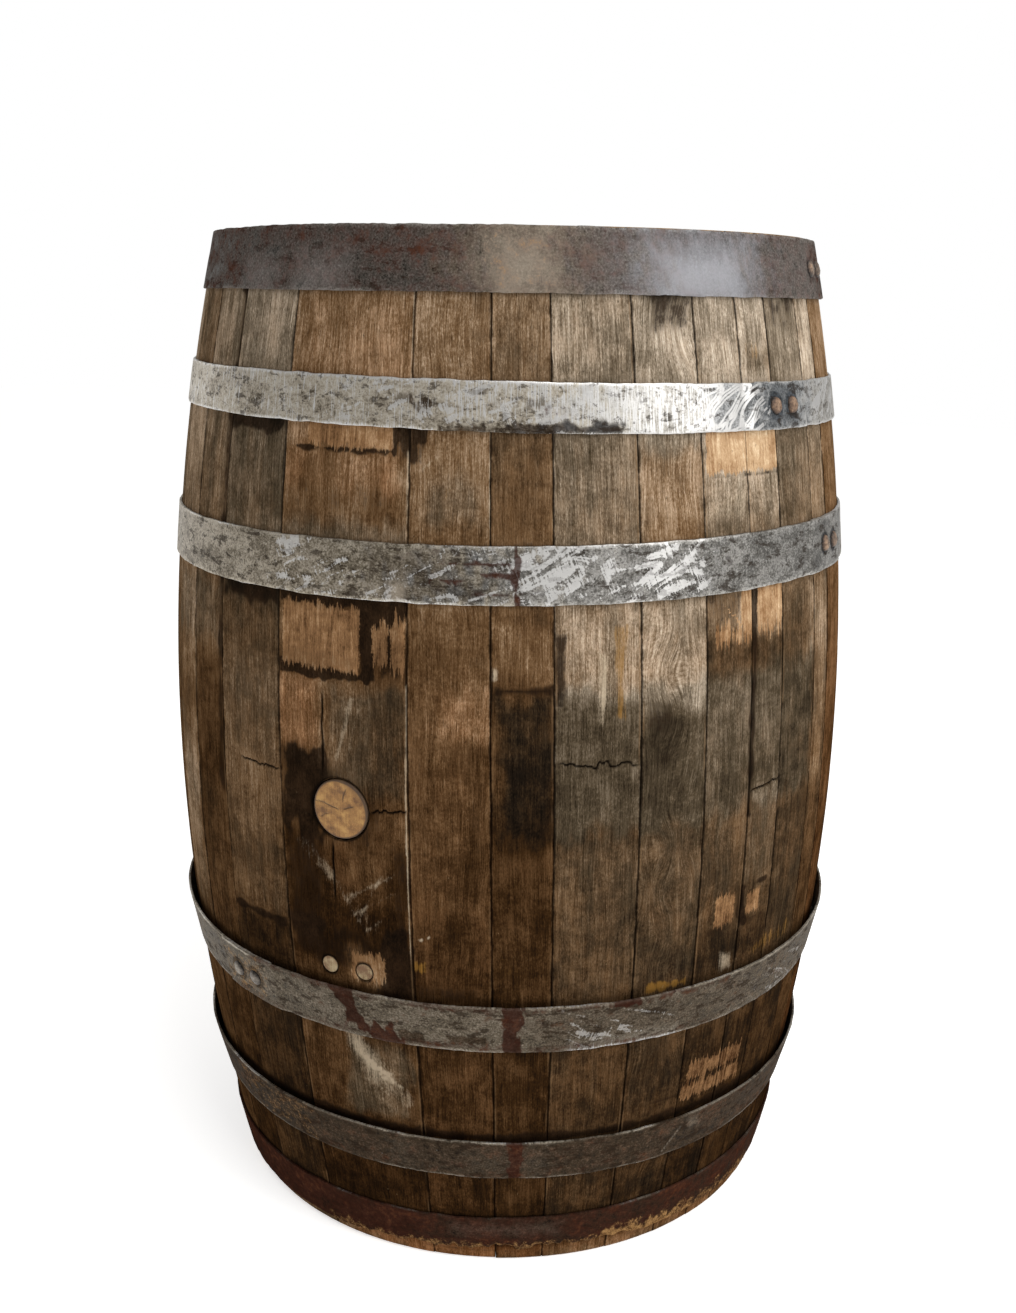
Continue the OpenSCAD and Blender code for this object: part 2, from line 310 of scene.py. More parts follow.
def oak_material(name, end_grain):
    """Weathered oak. Its tone, shifted by fibres and blotches, picks a place on a row of browns,
    and its warmth mixes in a red or a grey row. Bare wood, ochre, smudges, black stains and
    pale dust lie over it, then pores, specks, chips, cracks, lit edges and dark joints, with
    sawn end grain on level faces and char on the inside."""
    material, oak = new_material(name)
    uv = oak.grain()
    side_mm, end_mm, ragged = oak.field("patch")
    stain, pale, ochre = oak.field("wear")
    tone, warm, char = oak.field("tint")
    crack, edge_mm, _ = oak.field("cuts")

    fibre = uv.noise(1250, 42, detail=3, rough=0.6)
    fleck = uv.noise(900, 340, detail=3, rough=0.7)
    dash = uv.noise(360, 17, detail=3, rough=0.6)
    streak = uv.noise(70, 4, detail=3, warp=0.3)
    blotch = uv.noise(15, 12, detail=6, rough=0.62)
    mottle = uv.noise(80, 66, detail=6, rough=0.7)
    tide = uv.noise(6, 40, detail=4, rough=0.6, warp=0.6)
    pore = uv.noise(900, 60, detail=2).ease(0.1, 0.24)
    speck = uv.noise(300, 210, detail=2).ease(0.19, 0.27)
    teeth = uv.noise(420, 9, detail=3, rough=0.65)
    smudge = uv.noise(34, 26, detail=6, rough=0.68).ease(0.07, 0.2)
    rubbed = (blotch * 1.2 + mottle * 0.8 + fleck * 0.4 + tide * 0.4).ease(-0.1, 0.14)

    fine = fibre * 0.52 + fleck * 0.42 + dash * 0.38 + streak * 0.25
    coarse = (rubbed - 0.5) * 0.08 + blotch * 0.34 + mottle * 0.32
    level = tone + fine * (0.55 + tone) + coarse * 0.85
    places = (0.0, 0.15, 0.27, 0.44, 0.55, 0.65, 0.8, 1.0)
    browns = ("#0d0805", "#20140a", "#332110", "#523b25", "#674e35", "#7d654c", "#a68e75", "#d2bca2")
    reds = ("#100805", "#28160b", "#3d2311", "#5e3d22", "#755033", "#8d6443", "#b1855c", "#d6b08a")
    greys = ("#0d0a07", "#1c1610", "#2c241a", "#4a3f30", "#625647", "#7a6d5c", "#a29482", "#cfc3b2")
    shift = warm + blotch * 0.9 + mottle * 0.5 + streak * 0.5
    colour = shift.ease(0.0, 1.0).mix(level.ramp(places, *browns), level.ramp(places, *reds))
    colour = shift.ease(-0.05, -0.8).mix(colour, level.ramp(places, *greys))

    end_in = end_mm + teeth * ragged * 70 + mottle * 10 + fleck * 4
    scraped = (side_mm + mottle * 8 + fleck * 5).least(end_in).ease(-0.5, 0.5)
    raw = 0.15 + tone * 0.65 + fibre * 0.5 + fleck * 0.5 + dash * 0.6 + mottle * 0.8 + blotch * 0.8
    fresh = raw.ramp((0.15, 0.5, 0.8, 1.0), "#3f2918", "#876545", "#b99a77", "#dac3a3")
    colour = scraped.mix(colour, fresh)

    yellow = (ochre + mottle * 0.6 + fibre * 0.6 + dash * 1.2).ease(0.4, 0.85)
    colour = (yellow * 0.7).mix(colour, "#85602a")
    # Black stains, which along the hoop edges also carry a painted shadow of the hoops
    soot_and_shadow = (stain + blotch * 0.7 + mottle * 1.1 + dash * 0.6 + fleck * 0.6).ease(0.32, 0.7)
    soot_and_shadow = soot_and_shadow * stain.ease(0.02, 0.2) * (1 - scraped * 0.7)
    black = (0.5 + blotch * 1.2 + fleck * 0.6 + mottle).ramp((0.3, 0.8), "#0c0907", "#291c12")
    smeared = smudge * (1 - scraped) * tone.ease(0.85, 0.45)
    colour = (smeared * 0.28).mix(colour, "#1d140c")
    colour = (soot_and_shadow * 0.9).mix(colour, black)
    dust = (pale + fibre * 0.7 + dash * 0.7 + mottle * 0.9 + fleck * 0.8).ease(0.25, 1.1)
    dust = dust * pale.ease(0.02, 0.2)
    colour = (dust * 0.72).mix(colour, "#b3a28a")
    colour = (pore * 0.45).mix(colour, "#150d07")
    colour = (speck * 0.6).mix(colour, "#170f08")
    chips = uv.noise(230, 110, detail=3, rough=0.7).ease(0.2, 0.27)
    colour = (chips * 0.45).mix(colour, "#9c8566")
    colour = crack.mix(colour, "#0a0705")
    lit = edge_mm.ease(0.4, 1.0) * edge_mm.ease(2.8, 1.5)
    lit = lit * uv.noise(30, 9, detail=3).ease(0.0, 0.12)
    colour = (lit * 0.24).mix(colour, "#927352")
    grime = (edge_mm + mottle * 5 + blotch * 4).ease(1.7, 0.1) * (1 - scraped * 0.8)
    colour = (grime * 0.7).mix(colour, "#0e0906")

    spot_at = oak.place()
    rings = spot_at.noise(260, 260, 260, detail=4)
    sawn_level = 0.5 + rings * 1.2 + (tone - 0.6) * 1.3
    sawn = sawn_level.ramp((0.15, 0.5, 0.85), "#23170e", "#6b5033", "#a5845a")
    if end_grain:
        colour = oak.facing_up().mix(colour, sawn)
    scales = oak.node("TexVoronoi", {"feature": "DISTANCE_TO_EDGE"}, {"Vector": spot_at, "Scale": 90})
    burnt = (scales + rings * 0.05).ease(0.0, 0.06).mix("#020202", "#0f0e0d")
    colour = char.mix(colour, burnt)

    roughness = 0.62 + fibre * 0.25 + mottle * 0.2 + scraped * 0.12 + char * 0.2 - soot_and_shadow * 0.08
    height = fibre * 0.5 + dash * 0.35 + fleck * 0.3 - pore * 0.25 + mottle * 0.25 - scraped * 0.12
    finish_material(
        oak,
        {
            "Base Color": colour,
            "Roughness": roughness,
            "Specular IOR Level": 0.0,
            "Normal": oak.bump(height, 0.8),
        },
    )
    return material


# Looks of the staves in view: tone, warmth and how many mm the grain swirls
stave_looks = {
    1: (0.43, 0.15, 2),
    2: (0.39, 0.0, 1),
    3: (0.48, -0.3, 1),
    4: (0.46, -0.35, 7),
    5: (0.46, -0.3, 3),
    6: (0.45, -0.3, 2),
    7: (0.41, -0.3, 2),
    8: (0.45, -0.2, 3),
    9: (0.40, 0.4, 2),
    28: (0.54, -0.05, 3),
    29: (0.41, -0.15, 1),
    30: (0.44, -0.3, 1),
}

# Wear, tone and some painted light, by kind: left and right turn, low and high, and strength,
# which for bare wood is how ragged its ends are
stave_marks = {
    # Tone rows also hold painted light: the lighter rows high up from about 44 degrees rightwards are
    # partly a painted sheen, and the darker top of the leftmost stave in view is partly painted shade
    "tone": [
        (-12.5, 10, 770, 868, 0.06),
        (-24.6, -11.2, 685, 768, -0.08),
        (-24.6, -11.2, 570, 640, -0.08),
        (-24.6, -11.2, 340, 560, 0.07),
        (-24.2, -11.2, 288, 330, -0.12),
        (-24.2, -11.2, 60, 100, 0.05),
        (-10.7, -3, 492, 560, 0.12),
        (-10.8, 10.6, 300, 425, -0.12),
        (0.8, 8, 372, 420, 0.12),
        (-1.0, 9.6, 156, 224, 0.09),
        (4.2, 10.6, 455, 556, -0.1),
        (0.8, 6.8, 294, 322, 0.3),
        (-10.8, -6.8, 714, 745, -0.1),
        (4.6, 8.4, 688, 738, -0.1),
        (-10.8, 10.6, 668, 708, -0.06),
        (14.5, 22.4, 515, 560, 0.14),
        (22.5, 31, 566, 612, 0.15),
        (22.5, 31.4, 430, 558, -0.2),
        (31.6, 43.9, 553, 628, 0.15),
        (31.4, 44, 465, 552, -0.14),
        (44, 54.8, 540, 628, 0.18),
        (44, 50, 490, 552, -0.12),
        (78.5, 88, 560, 628, 0.1),
        (-46, -34.4, 780, 870, -0.2),
        (-34.2, -25.4, 780, 870, 0.04),
        (-10.8, 10.6, 780, 870, -0.1),
        (10.8, 31.4, 780, 870, -0.03),
        (31.6, 43.8, 685, 870, -0.05),
        (22.6, 31.2, 685, 768, -0.08),
        (71.2, 81, 780, 870, 0.11),
        (71.2, 81, 470, 555, -0.05),
        (81.4, 88, 440, 600, 0.12),
        (31.6, 43.8, 440, 560, 0.05),
        (44, 88, 365, 450, 0.05),
        (-46, -34.4, 300, 450, 0.08),
        (10, 44, 60, 235, 0.06),
        (10.8, 22.4, 295, 365, -0.05),
        (71.2, 81, 60, 365, 0.08),
        (-34.2, -25.2, 60, 365, 0.05),
        (31.6, 43.8, 465, 555, 0.06),
        (44, 70.6, 60, 365, 0.03),
        (44, 88, 290, 480, -0.04),
        (44, 54.8, 690, 765, 0.06),
        (54.8, 71, 690, 868, 0.1),
        (81.4, 88, 780, 868, 0.14),
        (71.2, 81, 685, 768, -0.02),
        (54.9, 71, 728, 765, 0.2),
        (63.8, 70.6, 806, 822, -0.15),
        (31.4, 44, 430, 552, -0.06),
        (61, 70.4, 592, 628, 0.2),
        (54.8, 71.0, 560, 592, -0.12),
        (-10.2, 10.4, 564, 626, -0.13),
        (22.6, 31.2, 365, 460, -0.07),
        (-10.8, 10.6, 345, 440, -0.04),
        (-34.2, -25, 440, 555, -0.09),
        (64, 71, 370, 460, 0.09),
        (54.9, 71, 292, 330, -0.09),
        (-45, -34.4, 365, 460, 0.06),
        (44, 54.8, 780, 868, 0.06),
        (-10.8, 10.6, 60, 100, -0.05),
        (-10.8, 10.6, 150, 235, 0.05),
        (31.6, 43.8, 150, 235, -0.05),
        (54.9, 81, 60, 235, -0.06),
        (-80, -60, 460, 620, -0.1),
    ],
    "warm": [
        (-12.5, 10, 690, 868, 0.5),
        (-10.7, -3, 495, 560, 0.5),
        (-2.7, 10.6, 462, 560, -0.5),
        (-2.0, 10.0, 152, 236, -0.6),
        (-10.8, 10.6, 668, 708, -0.4),
        (12, 21, 690, 725, -0.3),
        (14.5, 22.4, 515, 560, 0.3),
        (22.5, 31, 566, 612, 0.2),
        (22.5, 31.4, 430, 558, -0.5),
        (31.4, 44, 465, 552, -0.4),
        (31.6, 81, 440, 560, -0.4),
        (31.6, 81, 290, 440, -0.12),
        (-45, -34.4, 290, 480, -0.25),
        (44, 54.8, 640, 745, 0.45),
        (-5, 85, 0, 30, 0.8),
        (-45, -25, 560, 620, -0.3),
    ],
    "stain": [
        (-10.9, 4.5, 560, 568, 0.95),
        (-10.9, 2.8, 566, 582, 0.5),
        (-10.9, 10.7, 619, 630, 0.85),
        (3.3, 5.6, 562, 624, 1.0),
        (5.4, 10.6, 560, 625, 0.75),
        (-10.9, -3.6, 425, 498, 0.85),
        (-10.9, -2.6, 335, 430, 0.5),
        (-6.2, 6.2, 414, 486, 0.45),
        (-10.4, 10.6, 304, 340, 0.6),
        (8.2, 10.8, 340, 425, 0.5),
        (6.6, 10.8, 286, 350, 0.85),
        (7.5, 8.1, 741, 762, 0.9),
        (8.4, 11.6, 735, 766, 0.75),
        (-24.8, -11.2, 752, 768, 0.65),
        (-26.2, -24.2, 430, 870, 0.55),
        (31.0, 32.8, 548, 606, 0.7),
        (8, 12, 755, 765, 0.9),
        (-9.5, 7.6, 741.5, 745, 1.0),
        (-10.5, 8, 694, 716, 0.3),
        (22.5, 31.4, 556, 566, 0.7),
        (45, 49.5, 515, 548, 0.55),
        (45.5, 53.5, 836, 868, 0.55),
        (71, 80, 838, 862, 0.5),
        (63.2, 64.5, 430, 628, 0.8),
        (54.8, 71, 722.5, 726, 0.75),
        (54.8, 60.8, 600, 628, 0.35),
        (56, 70, 362, 366, 0.7),
        (62.6, 64.8, 330, 366, 0.8),
        (57, 70, 326, 332, 0.5),
        (45, 56, 164, 168, 0.55),
        (-24.6, -11.2, 326, 334, 0.8),
        (-24.4, -11, 612, 632, 0.7),
        (-30, 80, 142, 152, 0.5),
        (11, 21, 288, 300, 0.4),
        (121, 133, 292, 330, 0.7),
        (151, 170, 735, 748, 0.6),
        (-148, -141, 560, 618, 0.48),
        (-104, -92, 300, 420, 0.6),
    ],
    "bare": [
        (-10.2, 3.2, 568, 620, 0.4),
        (5.2, 7.6, 576, 612, 0.8),
        (7.9, 10.0, 572, 613, 0.8),
        (-7, 7.2, 746, 768, 0.3),
        (1.0, 6.6, 296, 321, 0.4),
        (54.9, 71, 726, 772, 0.25),
        (60.9, 63.4, 588, 640, 0.8),
        (56, 63.4, 588, 602, 0.9),
        (64.4, 70.4, 592, 640, 1.0),
        (58.4, 62.4, 333, 361, 0.5),
        (65.2, 68.4, 336, 357, 0.5),
        (56, 70, 158, 174, 0.35),
        (57, 69.5, 178, 196, 0.4),
        (104, 112, 560, 604, 0.6),
        (158, 166, 690, 735, 0.5),
        (-128, -118, 700, 742, 0.6),
    ],
    "pale": [
        (-2.4, 4, 474, 556, 0.12),
        (22.6, 23.2, 570, 578, 1.2),
        (37.2, 38.9, 530, 592, 0.6),
        (37.9, 38.3, 545, 590, 0.4),
        (55, 63.4, 690, 718, 0.4),
        (60.4, 63.4, 286, 306, 0.3),
        (61.0, 63.6, 284, 303, 0.5),
        (-172, -165, 300, 360, 0.5),
    ],
    "ochre": [
        (13, 17, 704, 722, 0.42),
        (39.6, 41.4, 535, 612, 0.7),
        (63.6, 70.5, 812, 830, 0.5),
        (46.5, 54, 284, 294, 0.9),
        (66, 80, 287, 305, 0.5),
        (11, 12.8, 311, 321, 0.8),
        (23, 28, 308, 325, 0.35),
    ],
}

# Pale smears: turn and height of both ends, half width in mm, strength
stave_smears = [
    (2.0, 546, -0.4, 494, 4, 0.5),
    (3.2, 540, 1.6, 500, 3, 0.3),
    (10.36, 562, 10.36, 420, 1.1, 1.3),
    (10.5, 420, 10.6, 318, 1.0, 1.0),
    (-7.0, 414, -2.0, 390, 9, 0.3),
    (-3.0, 392, 5.0, 348, 16, 0.2),
    (8.6, 402, -0.5, 366, 7, 0.16),
    (8.4, 398, 1.5, 374, 2.2, 0.3),
    (9.4, 386, 0.5, 352, 2.4, 0.28),
    (6.4, 396, 2.0, 346, 2, 0.26),
    (-1.0, 384, 3.4, 344, 2.2, 0.26),
    (8.8, 368, 3.0, 340, 2.4, 0.24),
    (11.9, 341, 13.5, 345, 1.4, 1.2),
    (9.5, 866, 9.7, 784, 1.0, 1.0),
    (9.78, 746, 9.92, 690, 1.0, 0.8),
    (21.56, 762, 21.74, 690, 1.0, 0.8),
    (0.5, 236, 8.6, 178, 14, 0.5),
    (0.5, 226, 5.5, 166, 15, 0.42),
    (2.2, 216, 6.6, 198, 2, 0.5),
    (3.6, 207, 8.6, 201, 1.8, 0.45),
    (4.6, 200, 8.4, 191, 1.8, 0.45),
    (3.0, 196, 6.0, 178, 1.8, 0.3),
    (12.0, 732, 14.4, 742, 1.5, 0.8),
]

# Cross cracks: left and right turn, height, climb to the right, depth
stave_cracks = [
    (-19.8, -10.9, 474, 0, 1.4),
    (4.7, 10.6, 451, 3, 1.8),
    (31.5, 43.8, 500, -3, 1.5),
    (63.9, 71.0, 454, 4, 2.0),
]

# Splits along the grain: turn, low, high, depth
stave_splits = [
    (-2.9, 476, 552, 1.6),
    (-1.4, 362, 424, 1.5),
]


def covers(left, right, stave_left, stave_right):
    """Whether a mark and a stave share at least a fifth of the narrower one's width."""
    shared = min(right, stave_right) - max(left, stave_left)
    return shared > 0.2 * min(right - left, stave_right - stave_left)


def turn_range(node):
    """The turns of a stave's two edges, read from the vertices of its CAD node."""
    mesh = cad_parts[node].data
    place = np.empty(len(mesh.vertices) * 3, np.float32)
    mesh.vertices.foreach_get("co", place)
    x, y, _ = place.reshape(-1, 3).T
    middle = np.arctan2(x.mean(), -y.mean())
    turn = np.angle(np.exp(1j * (np.arctan2(x, -y) - middle)))
    return np.degrees([middle + turn.min(), middle + turn.max()])


def grid_lines(base, extra):
    """Base lines and extra ones in order, without base lines that crowd an extra one."""
    extra = np.unique(extra)
    if len(extra):
        base = base[np.abs(base[:, None] - extra).min(1) > 0.5]
    return np.sort(np.concatenate([base, extra]))


def stave_wear_and_light(turn, z, tone, warm, marks, seed):
    """The wear and painted light at each point: for bare wood how many mm inside the sides and the
    ends of its rectangle the point is, and for the rest an amount that fades over a ragged edge.
    Tone is darker towards the bottom, partly painted shade and partly dirt; warmth greys towards
    the top as a painted sheen; stain darkens along the hoop edges as painted shadow and grime."""
    arc = turn * arc_mm
    ragged = 0.6 * waves(arc / 14, z / 30, seed) + 0.4 * waves(arc / 5, z / 11, seed + 1)
    found = {kind: np.zeros(z.shape) for kind in ("stain", "pale", "ochre", "ragged")}
    for kind in ("side", "end"):
        found[kind] = np.full(z.shape, unscraped_mm)
    # Darker towards the bottom: partly painted shade of light from above, partly dirt; lighter in a thin
    # strip at the foot
    found["tone"] = tone + 0.5 * (z / barrel_h - 0.54) + 0.32 * ease(z, 24, 10)
    # Greyer towards the top: a painted sheen
    found["warm"] = warm - 0.35 * ease(z, 480, 820)
    for kind, left, right, low, high, strength in marks:
        side = np.minimum(turn - left, right - turn) * arc_mm
        end = np.minimum(z - low, high - z)
        inside = np.minimum(side, end)
        if kind == "bare":
            nearer = inside > np.minimum(found["side"], found["end"])
            for key, value in (("side", side), ("end", end), ("ragged", strength)):
                found[key] = np.where(nearer, value, found[key])
        else:
            soft = 2 + 0.25 * min((right - left) * arc_mm, high - low, 40)
            found[kind] = found[kind] + strength * ease(inside + ragged * soft, -soft, soft)
    for turn_a, z_a, turn_b, z_b, half, strength in stave_smears:
        reach = np.hypot((turn_b - turn_a) * arc_mm, z_b - z_a)
        way_a, way_z = (turn_b - turn_a) * arc_mm / reach, (z_b - z_a) / reach
        off_a, off_z = (turn - turn_a) * arc_mm, z - z_a
        along = np.clip(off_a * way_a + off_z * way_z, 0, reach)
        off = np.hypot(off_a - along * way_a, off_z - along * way_z)
        found["pale"] = found["pale"] + strength * ease(off + 0.3 * half * ragged, half, 0.2 * half)
    # Darker at each hoop edge: a painted shadow of the hoop, and grime
    near_hoop = np.abs(z[..., None] - hoop_edges).min(-1)
    found["stain"] = found["stain"] + 0.38 * np.exp(-near_hoop / 5)
    return found


def round_hole(across, height, centre_a, centre_z, block, radius):
    """Moves grid points so that the edge of a square block becomes a circle: points are
    pushed along rays from the centre, fully at the block and not at all at twice its size."""
    a, z = across - centre_a, height - centre_z
    square = np.maximum(np.abs(a), np.abs(z)) / block
    stretch = radius * square / np.maximum(np.hypot(a, z), 1e-6)
    share = ease(square, 2.0, 1.0)
    grow = 1 + share * (stretch - 1)
    return centre_a + a * grow, centre_z + z * grow


def block_rim(low, high, left, right):
    """Row and column numbers round a block of the grid, up its right side."""
    up, over = np.arange(low, high), np.arange(left, right)
    rows = [np.full(len(over), low), up, np.full(len(over), high), up[::-1] + 1]
    columns = [over, np.full(len(up), right), over[::-1] + 1, np.full(len(up), left)]
    return np.concatenate(rows), np.concatenate(columns)


def stave_relief(turn, across, height, width, cracks, splits, seed):
    """How far the outer face lies under the true surface, how black its cracks are and how
    far it is from its joints: a lean and waves of the whole face, rounded edges, cross
    cracks along stepped lines and splits along wandering ones."""
    edge = np.minimum(across, width - across) - joint_gap / 2
    arc = turn * arc_mm
    lean = lattice(seed, 3, 5)
    drop = 0.45 + 0.35 * lattice(seed, 1, 5) + 0.25 * lean * (2 * across / width - 1)
    drop = drop + 0.2 * waves(arc / 45, height / 170, seed)
    drop = drop + 0.08 * waves(arc / 6, height / 55, seed + 2)
    edge_r = 0.7 + 0.3 * waves(height / 40, 0, seed + 3)
    edge_r = edge_r + 1.6 * ease(waves(height / 16, 0, seed + 4), 0.5, 0.9)
    drop = drop + rounding(edge, edge_r) + rounding(np.minimum(height, barrel_h - height), 2.2)
    crack = np.zeros(height.shape)
    for left, right, z, climb, depth in cracks:
        along = (turn - left) / (right - left)
        line = z + climb * along + 2.4 * steps(turn * 0.6, seed + 7) + 1.0 * steps(turn * 1.7, seed + 8)
        slope = np.gradient(line, axis=1) / np.gradient(arc, axis=1)
        off = np.abs(height - line) / np.hypot(1, slope)
        fade = ease(np.minimum(along, 1 - along), -0.05, 0.12)
        wide = 0.55 + 0.3 * depth
        drop = drop + depth * fade * np.exp(-((off / wide) ** 2))
        crack = np.maximum(crack, fade * ease(off, wide + 0.3, 0.3))
    for split_turn, low, high, depth in splits:
        off = np.abs((turn - split_turn) * arc_mm + 0.8 * waves(height / 13, 0, seed + 9))
        fade = ease(np.minimum(height - low, high - height), -2, 12)
        drop = drop + depth * fade * np.exp(-((off / 0.8) ** 2))
        crack = np.maximum(crack, fade * ease(off, 1.5, 0.4))
    return drop, crack, edge


def stave_lines(left, width, blocks, cracks, splits):
    """The places across and up a stave that its grid runs through: even steps, closer ones at
    its edges and ends, and extra ones at the sides of hole blocks and along cracks."""
    edges = np.array([joint_gap / 2, 0.5, 1.0, 1.8, 3.2])
    extra = [centre + side * block for centre, _, block, _, _ in blocks for side in (-1, 1)]
    for turn, _, _, _ in splits:
        extra += list((turn - left) * arc_mm + np.arange(-2.4, 2.5, crack_step))
    for crack_left, crack_right, z, _, _ in cracks:
        start, stop = (np.array([crack_left, crack_right]) - left - twist(z)) * arc_mm
        extra += list(np.arange(max(start, 4), min(stop, width - 4), 0.9))
    face = np.arange(5.5, width - 5, face_step)
    columns = grid_lines(np.concatenate([edges, face, width - edges[::-1]]), extra)
    ends = np.concatenate([[0, 0.7, 1.6, 2.8], np.arange(4, 62, 2)])
    extra = [z + side * block for _, z, block, _, _ in blocks for side in (-1, 1)]
    for _, _, z, climb, _ in cracks:
        extra += list(np.arange(z - 5 + min(climb, 0), z + 5 + max(climb, 0), crack_step))
    body = np.arange(63, barrel_h - 62, row_step)
    rows = grid_lines(np.concatenate([ends, body, barrel_h - ends[::-1]]), extra)
    return columns, rows


def stave_piece(node, seed, tone, warm, swirl, material, holes=()):
    """One stave. Its section is a closed loop, the outer face from left to right and the
    inner face back, carried up the bend in rows. A hole is a block of cells left out, its edge
    made round and joined to the same block of the inner face by a chamfered wall."""
    left, right = turn_range(node)
    width = (right - left) * arc_mm
    marks = [
        (kind, *row)
        for kind, kind_rows in stave_marks.items()
        for row in kind_rows
        if covers(row[0], row[1], left, right)
    ]
    cracks = [row for row in stave_cracks if covers(row[0], row[1], left, right)]
    splits = [row for row in stave_splits if left < row[0] < right]

    blocks = []
    for turn, z, radius, inner_hole_r in holes:
        centre = (turn - twist(z) - left) * arc_mm
        blocks.append((centre, z, 0.85 * radius, radius, inner_hole_r))
    columns, rows = stave_lines(left, width, blocks, cracks, splits)
    across, height = np.meshgrid(columns, rows)
    inner_columns = columns if holes else columns[[0, len(columns) // 2, -1]]
    inner_across, inner_height = np.meshgrid(inner_columns, rows)
    for centre, z, block, radius, inner_hole_r in blocks:
        across, height = round_hole(across, height, centre, z, block, radius + hole_chamfer)
        inner = round_hole(inner_across, inner_height, centre, z, block, inner_hole_r)
        inner_across, inner_height = inner
    turn = left + across / arc_mm + twist(height)
    inner_turn = left + inner_across / arc_mm + twist(inner_height)

    drop, crack, edge = stave_relief(turn, across, height, width, cracks, splits, seed)
    radius = outer_radius(height) - drop

    found = stave_wear_and_light(turn, height, tone, warm, marks, seed)
    outer = spot(turn, radius, height)
    inner = spot(inner_turn, inner_radius(inner_height), inner_height)
    points = np.concatenate([outer, inner[:, ::-1]], 1)
    burnt = ease(np.minimum(inner_height, barrel_h - inner_height), croze_z - 6, croze_z + 4)
    blank = np.zeros(edge.shape)
    none = np.zeros(burnt.shape)
    unscraped = none + unscraped_mm
    fields = {
        "patch": ([found["side"], found["end"], found["ragged"]], [unscraped, unscraped, none]),
        "wear": ([found["stain"], found["pale"], found["ochre"]], [none, none, none]),
        "tint": ([found["tone"], found["warm"], blank], [none + tone, none, burnt]),
        "cuts": ([crack, edge, blank], [none, none + jointless_mm, none]),
    }
    fields = {
        field: np.concatenate([np.stack(outside, -1), np.stack(inside, -1)], 1)
        for field, (outside, inside) in fields.items()
    }
    wander = 3 * waves(across / 70, height / 240, seed + 11)
    wander = wander + swirl * waves(across / 24, height / 38, seed + 12)
    outer_uv = np.stack([across + wander, height], -1)
    inner_uv = np.stack([inner_across, inner_height], -1)
    uv = np.concatenate([outer_uv, inner_uv[:, ::-1]], 1)
    uv = uv / 1000 + np.array([0.37 * seed, 0.53 * lattice(seed, 2, 5)])

    row_count, loop = points.shape[:2]
    quads, caps = tube(row_count, loop)
    points = points.reshape(-1, 3)
    uv = uv.reshape(-1, 2)
    fields = {k: v.reshape(-1, 3) for k, v in fields.items()}
    kept = np.ones(quads.shape[:2], bool)
    walls = []
    for centre, z, block, hole_r, _ in blocks:
        low, high = np.searchsorted(rows, [z - block - 0.01, z + block - 0.01])
        first, last = np.searchsorted(columns, [centre - block - 0.01, centre + block - 0.01])
        kept[low:high, first:last] = False
        kept[low:high, loop - 1 - last : loop - 1 - first] = False
        i, j = block_rim(low, high, first, last)
        face_ids, inside_ids = i * loop + j, i * loop + loop - 1 - j
        shrink = hole_r / (hole_r + hole_chamfer)
        rim_across = centre + (across[i, j] - centre) * shrink
        rim_height = z + (height[i, j] - z) * shrink
        rim_turn = left + rim_across / arc_mm + twist(rim_height)
        rim_ids = len(points) + np.arange(len(i))
        points = np.concatenate([points, spot(rim_turn, radius[i, j] - 1.2, rim_height)])
        uv = np.concatenate([uv, uv[face_ids]])
        fields = {k: np.concatenate([v, v[face_ids]]) for k, v in fields.items()}
        fields["tint"][rim_ids, 2] = 0.7
        fields["cuts"][face_ids, 0] = 0.9
        for here, there in ((face_ids, rim_ids), (rim_ids, inside_ids)):
            walls.append(np.stack([here, np.roll(here, -1), np.roll(there, -1), there], -1))
    quads = np.concatenate([quads[kept], *walls])

    piece = add_piece("oak_" + node, points, quads, caps, uv, fields, material)
    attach(piece, "barrel")
    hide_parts(node)


def hoop_span(name):
    """The heights of a hoop's lower and upper edge, from its CAD box."""
    return [corner.z * 1000 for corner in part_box(name)]


hoop_places = ("chime", "quarter", "bilge")
hoop_names = [f"{end}_{place}_hoop" for end in ("top", "bottom") for place in hoop_places]
hoop_edges = np.array([hoop_span(name) for name in hoop_names]).ravel()
stave_oak = oak_material("stave oak", end_grain=True)
for number in range(1, 31):
    plain_look = (0.46 + 0.08 * lattice(number, 7, 1), 0.35 * lattice(number, 8, 1), 2)
    stave_piece(f"stave_{number:02d}", number, *stave_looks.get(number, plain_look), stave_oak)


# Bung stave: the widest stave, of the same oak, bored right through at the bilge for the
# tapered bung and lower down for two sample pegs.
bung_z = 450
bung_hole_r = 26.7
bung_hole_inner_r = 25.2
peg_z = 303
peg_pitch = 34
peg_turn = np.degrees(peg_pitch / 2 / outer_radius(peg_z))
peg_hole_r = 8.0
bung_stave_holes = [
    (0, bung_z, bung_hole_r, bung_hole_inner_r),
    (-peg_turn, peg_z, peg_hole_r, peg_hole_r),
    (peg_turn, peg_z, peg_hole_r, peg_hole_r),
]
bung_stave_look = (0.47, 0.1, 2)
stave_piece("bung_stave", 40, *bung_stave_look, stave_oak, bung_stave_holes)


# Heads: six oak boards each, joined edge to edge with dowels, sawn round and bevelled to a
# thin rim that the croze grooves grip. Their outsides have weathered, their insides charred.
rim_r = 264.9
rim_bevel = 26
rim_taper = 9 / rim_bevel
board_gap = 0.3
head_oak = oak_material("head oak", end_grain=False)


